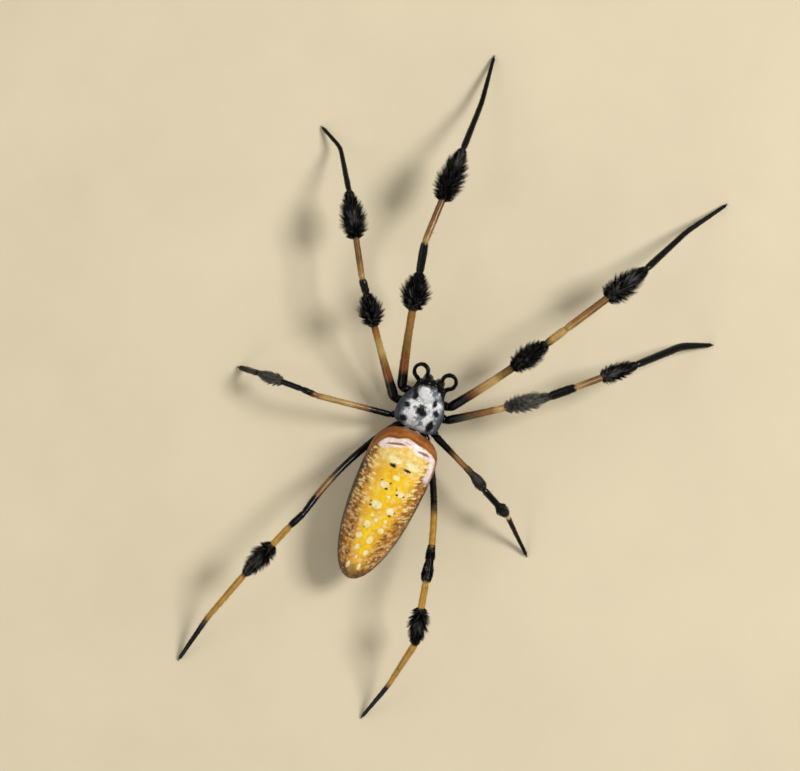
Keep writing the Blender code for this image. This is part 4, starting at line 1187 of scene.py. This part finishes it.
def buildJaw(side, sign):
    # stout tapering tube, swollen in front under the eyes, with its fang folded across the foot
    share = np.linspace(0, 1, 80)
    x = sign * (jaw["side"] + 0.07 * np.sin(math.pi * share))
    y = jaw["y"] + 0.30 * (1 - share) ** 2 + 0.15 * share**2
    z = jaw["topZ"] + 0.10 + (jaw["bottomZ"] - jaw["topZ"] - 0.12) * share
    path = np.stack([x, y, z], 1)
    radius = jaw["radius"] * (0.62 + 0.42 * np.sin(math.pi * (0.12 + 0.72 * share)) - 0.10 * share**3) - 0.03
    radius = radius * roundEnd(share - 0.90, 0.105, 0.02)
    points, quads, tris = tubePart(path, radius, 48, (0.0, 1.0, 0.0))
    tone = blendTo(tints["black"], tints["rust"], 0.22 * smooth(3.2, 2.3, points[:, 2]))
    fit(addMesh(f"jaw_{side}_shell", points, quads, tris, tone), jawSkin, "jaw_black", f"jaw_{side}")
    hairsOnTube(f"jaw_{side}_hairs", "jaw_black", path, radius, 71 + int(sign), jaw["hairs"], (0.0, 1.0, 0.0))
    arc = np.linspace(0, 1, 48)
    x = sign * (jaw["side"] + 0.22 - 0.72 * jaw["fangLength"] * arc)
    y = jaw["y"] + 0.05 + 0.55 * jaw["fangLength"] * arc**1.5
    z = jaw["bottomZ"] - 0.02 - jaw["fangRadius"] - 0.30 * jaw["fangLength"] * np.sin(math.pi * arc * 0.6)
    z = z + 0.42 * (1 - arc / 0.28).clip(0, 1) ** 2
    points, quads, tris = tubePart(np.stack([x, y, z], 1), jaw["fangRadius"] * (1.05 - 0.84 * arc**1.2), 24)
    tone = blendTo(tints["black"], paint(120, 40, 18), 0.5 * smooth(0.5, 0.1, sign * points[:, 0]))
    fit(addMesh(f"fang_{side}_shell", points, quads, tris, tone), jawSkin, "jaw_black", f"fang_{side}")


def buildPalp(side, sign):
    # out from beside the mouth, then round in a ring ahead of the head, swelling a little between its joints
    middle = palp["centres"][side]
    share = np.linspace(0, 1, 13)
    sweep = np.radians(np.linspace(78, -205, 13))
    x = middle[0] + sign * palp["ring"] * np.cos(sweep)
    y = middle[1] + palp["ring"] * np.sin(sweep)
    z = palp["lowZ"] + (palp["topZ"] - palp["lowZ"]) * np.sin(share * math.pi * 0.62)
    knots = np.vstack([[sign * 1.35, -6.35, 3.55], [sign * 1.98, -6.80, 4.25], np.stack([x, y, z], 1)])
    size = np.concatenate([[1.15, 1.05], 1.0 + 0.12 * np.cos(share * math.pi * 3.0)])
    far = np.concatenate([[0], np.cumsum(np.linalg.norm(np.diff(knots, axis=0), axis=1))])
    fine = np.linspace(0, far[-1], 150)
    path = rounded(readAlong(fine, far, knots), 9)
    radius = palp["radius"] * np.interp(fine, far, size) - 0.03
    for joint in palp["joints"]:
        radius = radius * (1 - 0.14 * bell(fine - far[-1] * joint, 0.14))
    radius = radius * roundEnd(fine - far[-1] + 0.28, 0.30, 0.03)
    skin = addMesh(f"palp_{side}_skin", *tubePart(path, radius, 30), tints["black"])
    fit(skin, legSkin, "leg_black", f"palp_{side}")
    hairsOnTube(f"palp_{side}_hairs", "leg_black", path, radius, 81 + int(sign), palp["hairs"])


for side, sign in (("left", 1.0), ("right", -1.0)):
    buildJaw(side, sign)
    buildPalp(side, sign)

# underside
sternum = {"frontY": -5.9, "rearY": -0.45, "halfWidth": 1.26, "bottomZ": 2.9, "topZ": 4.92}
waist = {"radius": 0.43, "y": -0.62, "run": 2.3, "z": 4.30, "rise": 0.95}
undersideSkin = cuticle("undersideSkin", 0.40, 0.1, 1200.0, 0.75, 1.2, 0.015)


def buildSternum():
    # a shield under the front body: full ovals from front to back, flattened below, with two mouth lobes and
    # a lip
    frontY, bottomZ, topZ = sternum["frontY"], sternum["bottomZ"], sternum["topZ"]
    turn = circle(72)
    share = np.linspace(0.02, 0.98, 70)
    wide = sternum["halfWidth"] * (1 - np.abs(2 * share - 1) ** 2.6) ** 0.5 * (1.05 - 0.25 * share) - 0.03
    bend = np.sign(np.sin(turn)) * np.abs(np.sin(turn)) ** 0.7
    x = wide[:, None] * np.cos(turn)
    y = (frontY + share * (sternum["rearY"] - frontY))[:, None] + 0 * x
    z = topZ - (topZ - bottomZ - 0.03) * (0.5 - 0.5 * bend) + 0 * x
    grid = np.stack([x, y, z], -1)
    grid[..., 2] += 0.05 * (cloud(grid.reshape(-1, 3), 0.7, 61).reshape(x.shape) - 0.5) * (bend < 0)
    parts = [closedGrid(grid, grid[0].mean(0), grid[-1].mean(0))]
    along = np.linspace(0, 1, 30)
    radius = 0.40 * np.interp(along, [0, 0.35, 0.7, 0.92, 1], [0.85, 1, 0.95, 0.6, 0.25])
    for sign in (1.0, -1.0):
        start = np.array([sign * 0.50, frontY + 0.5, bottomZ + 0.75])
        parts.append(tubePart(start + along[:, None] * np.array([0.0, -1.22, -0.15]), radius, 26))
    along = np.linspace(0, 1, 20)[:, None]
    path = np.array([0.0, frontY + 0.35, bottomZ + 0.42]) + along * np.array([0, -0.75, 0.05])
    radius = 0.34 * np.sqrt(np.clip(1 - np.linspace(-0.6, 0.95, 20) ** 2, 0.05, 1))
    parts.append(tubePart(path, radius, 24, upward, 0.5))
    points, quads, tris = joinParts(parts)
    tone = blendTo(paint(46, 30, 20), tints["honey"], 0.65 * bell(points[:, 0], 0.35) * (points[:, 1] > -4.8))
    fit(addMesh("sternum_shield", points, quads, tris, tone), undersideSkin, "underside_brown", "sternum")


def buildPedicel():
    # the waist: a short rising tube, widest at both ends, with fine rings
    share = np.linspace(0, 1, 40)
    x, y = abdomen["side"] * 0.5 * share, waist["y"] + waist["run"] * share
    path = np.stack([x, y, waist["z"] + waist["rise"] * share**2], 1)
    radius = waist["radius"] + 0.14 * (2 * share - 1) ** 2 + 0.02 * np.sin(share * 34)
    skin = addMesh("pedicel_skin", *tubePart(path, radius, 36), paint(50, 32, 22))
    fit(skin, undersideSkin, "underside_brown", "pedicel")


spinnerets = {
    "y": 19.2, "topZ": 4.2, "drop": 2.3, "radius": 1.15, "cone": 0.42,
    # side, place back, lean and size
    "cones": ((0.46, -0.42, -0.25, 1.0), (0.46, 0.46, 0.35, 1.0), (0.16, 0.02, 0.0, 0.5)),
}


def buildSpinnerets():
    # a low round mound under the tail with two pairs of ringed cones and a small pair between
    share = np.linspace(0, 1, 26)
    drop, middle = spinnerets["drop"], np.array([abdomen["side"], spinnerets["y"], spinnerets["topZ"]])
    radius = spinnerets["radius"] * np.interp(share, [0, 0.66, 0.92, 1], [0.97, 0.95, 0.80, 0.55])
    parts = [tubePart(middle + share[:, None] * np.array([0, 0, -drop * 0.68]), radius, 60, (0.0, 1.0, 0.0))]
    for sign in (1.0, -1.0):
        for aside, back, lean, size in spinnerets["cones"]:
            start = middle + [sign * aside, back, -drop * 0.5]
            path = start + share[:, None] * np.array([-sign * 0.05, lean, -drop * 0.44 * (0.7 + 0.3 * size)])
            radius = spinnerets["cone"] * size * np.interp(share, [0, 0.5, 0.9, 1], [0.97, 0.86, 0.5, 0.28])
            parts.append(tubePart(path, radius * (1 + 0.04 * np.sin(share * 40)), 28, (0.0, 1.0, 0.0)))
    points, quads, tris = joinParts(parts)
    tone = blendTo(paint(86, 52, 26), paint(40, 24, 14), smooth(3.0, 2.0, points[:, 2]))
    fit(addMesh("spinneret_mound", points, quads, tris, tone), undersideSkin, "spinneret_brown", "spinnerets")


buildSternum()
buildPedicel()
buildSpinnerets()
print("head and underside done")

# floor, light and camera
studio = {
    "floorSize": 1600.0, "centre": (4.10, -4.98), "heading": 24.4,  # the camera's roll, in degrees
    "width": 112.0, "distance": 1500.0, "focusZ": 4.0, "sensor": 36.0,
    "world": (1.0, 0.98, 0.95, 1.0), "worldStrength": 0.28,
    "lights": {  # place and aim in metres, power in watts and size in metres
        "keyLight": ((-0.26, -0.24, 0.42), (0, 0, 0), 2.1, 0.16),
        "fillLight": ((0.40, 0.10, 0.35), (0, 0, 0), 0.60, 0.45),
        "rimLight": ((0.05, 0.45, 0.22), (0, 0, 0.005), 0.40, 0.25),
    },
}


def buildFloor():
    # one flat square with a faint unevenness of tone
    half = studio["floorSize"] / 2 * mm
    mesh = bpy.data.meshes.new("floor")
    corners = [(-half, -half, 0), (half, -half, 0), (half, half, 0), (-half, half, 0)]
    mesh.from_pydata(corners, [], [(0, 1, 2, 3)])
    floor = addObject("floor", mesh)
    material = newMaterial("floorPale", 0.9, 0.0, 0.0, 0.2)
    spots = addNode(material, "TexCoord").outputs["Object"]
    colour = toned(material, paint(228, 214, 182), spots, 40.0, 0.96, 1.03)
    floor.data.materials.append(finishWith(material, colour, spots, ((3.0, 900.0, 0.02, 0.3),)))


def buildStudio():
    # a dim warm surround and three square lamps, each turned to its aim
    world = bpy.data.worlds.new("studio")
    world.use_nodes = True
    surround = world.node_tree.nodes["Background"].inputs
    surround["Color"].default_value = studio["world"]
    surround["Strength"].default_value = studio["worldStrength"]
    bpy.context.scene.world = world
    for name, (spot, aim, power, size) in studio["lights"].items():
        lamp = bpy.data.lights.new(name, "AREA")
        lamp.energy = power
        lamp.size = size
        item = addObject(name, lamp)
        item.location = spot
        x, y, z = np.array(aim) - spot
        item.rotation_euler = (math.atan2(math.hypot(x, y), -z), 0.0, math.atan2(y, x) - math.pi / 2)
    bpy.context.scene.view_settings.view_transform = "Standard"


def buildCamera():
    # straight down, rolled so that the head points up and to the right
    lens = bpy.data.cameras.new("camera")
    lens.sensor_width = studio["sensor"]
    lens.lens = studio["sensor"] * (studio["distance"] - studio["focusZ"]) / studio["width"]
    lens.clip_start = 0.01
    lens.clip_end = 20.0
    camera = addObject("camera", lens)
    x, y = (np.array(studio["centre"]) + seat[:2]) * mm
    camera.location = (x, y, studio["distance"] * mm)
    camera.rotation_euler = (0.0, 0.0, math.pi + math.radians(studio["heading"]))
    bpy.context.scene.camera = camera


buildFloor()
buildStudio()
buildCamera()
print("studio done")
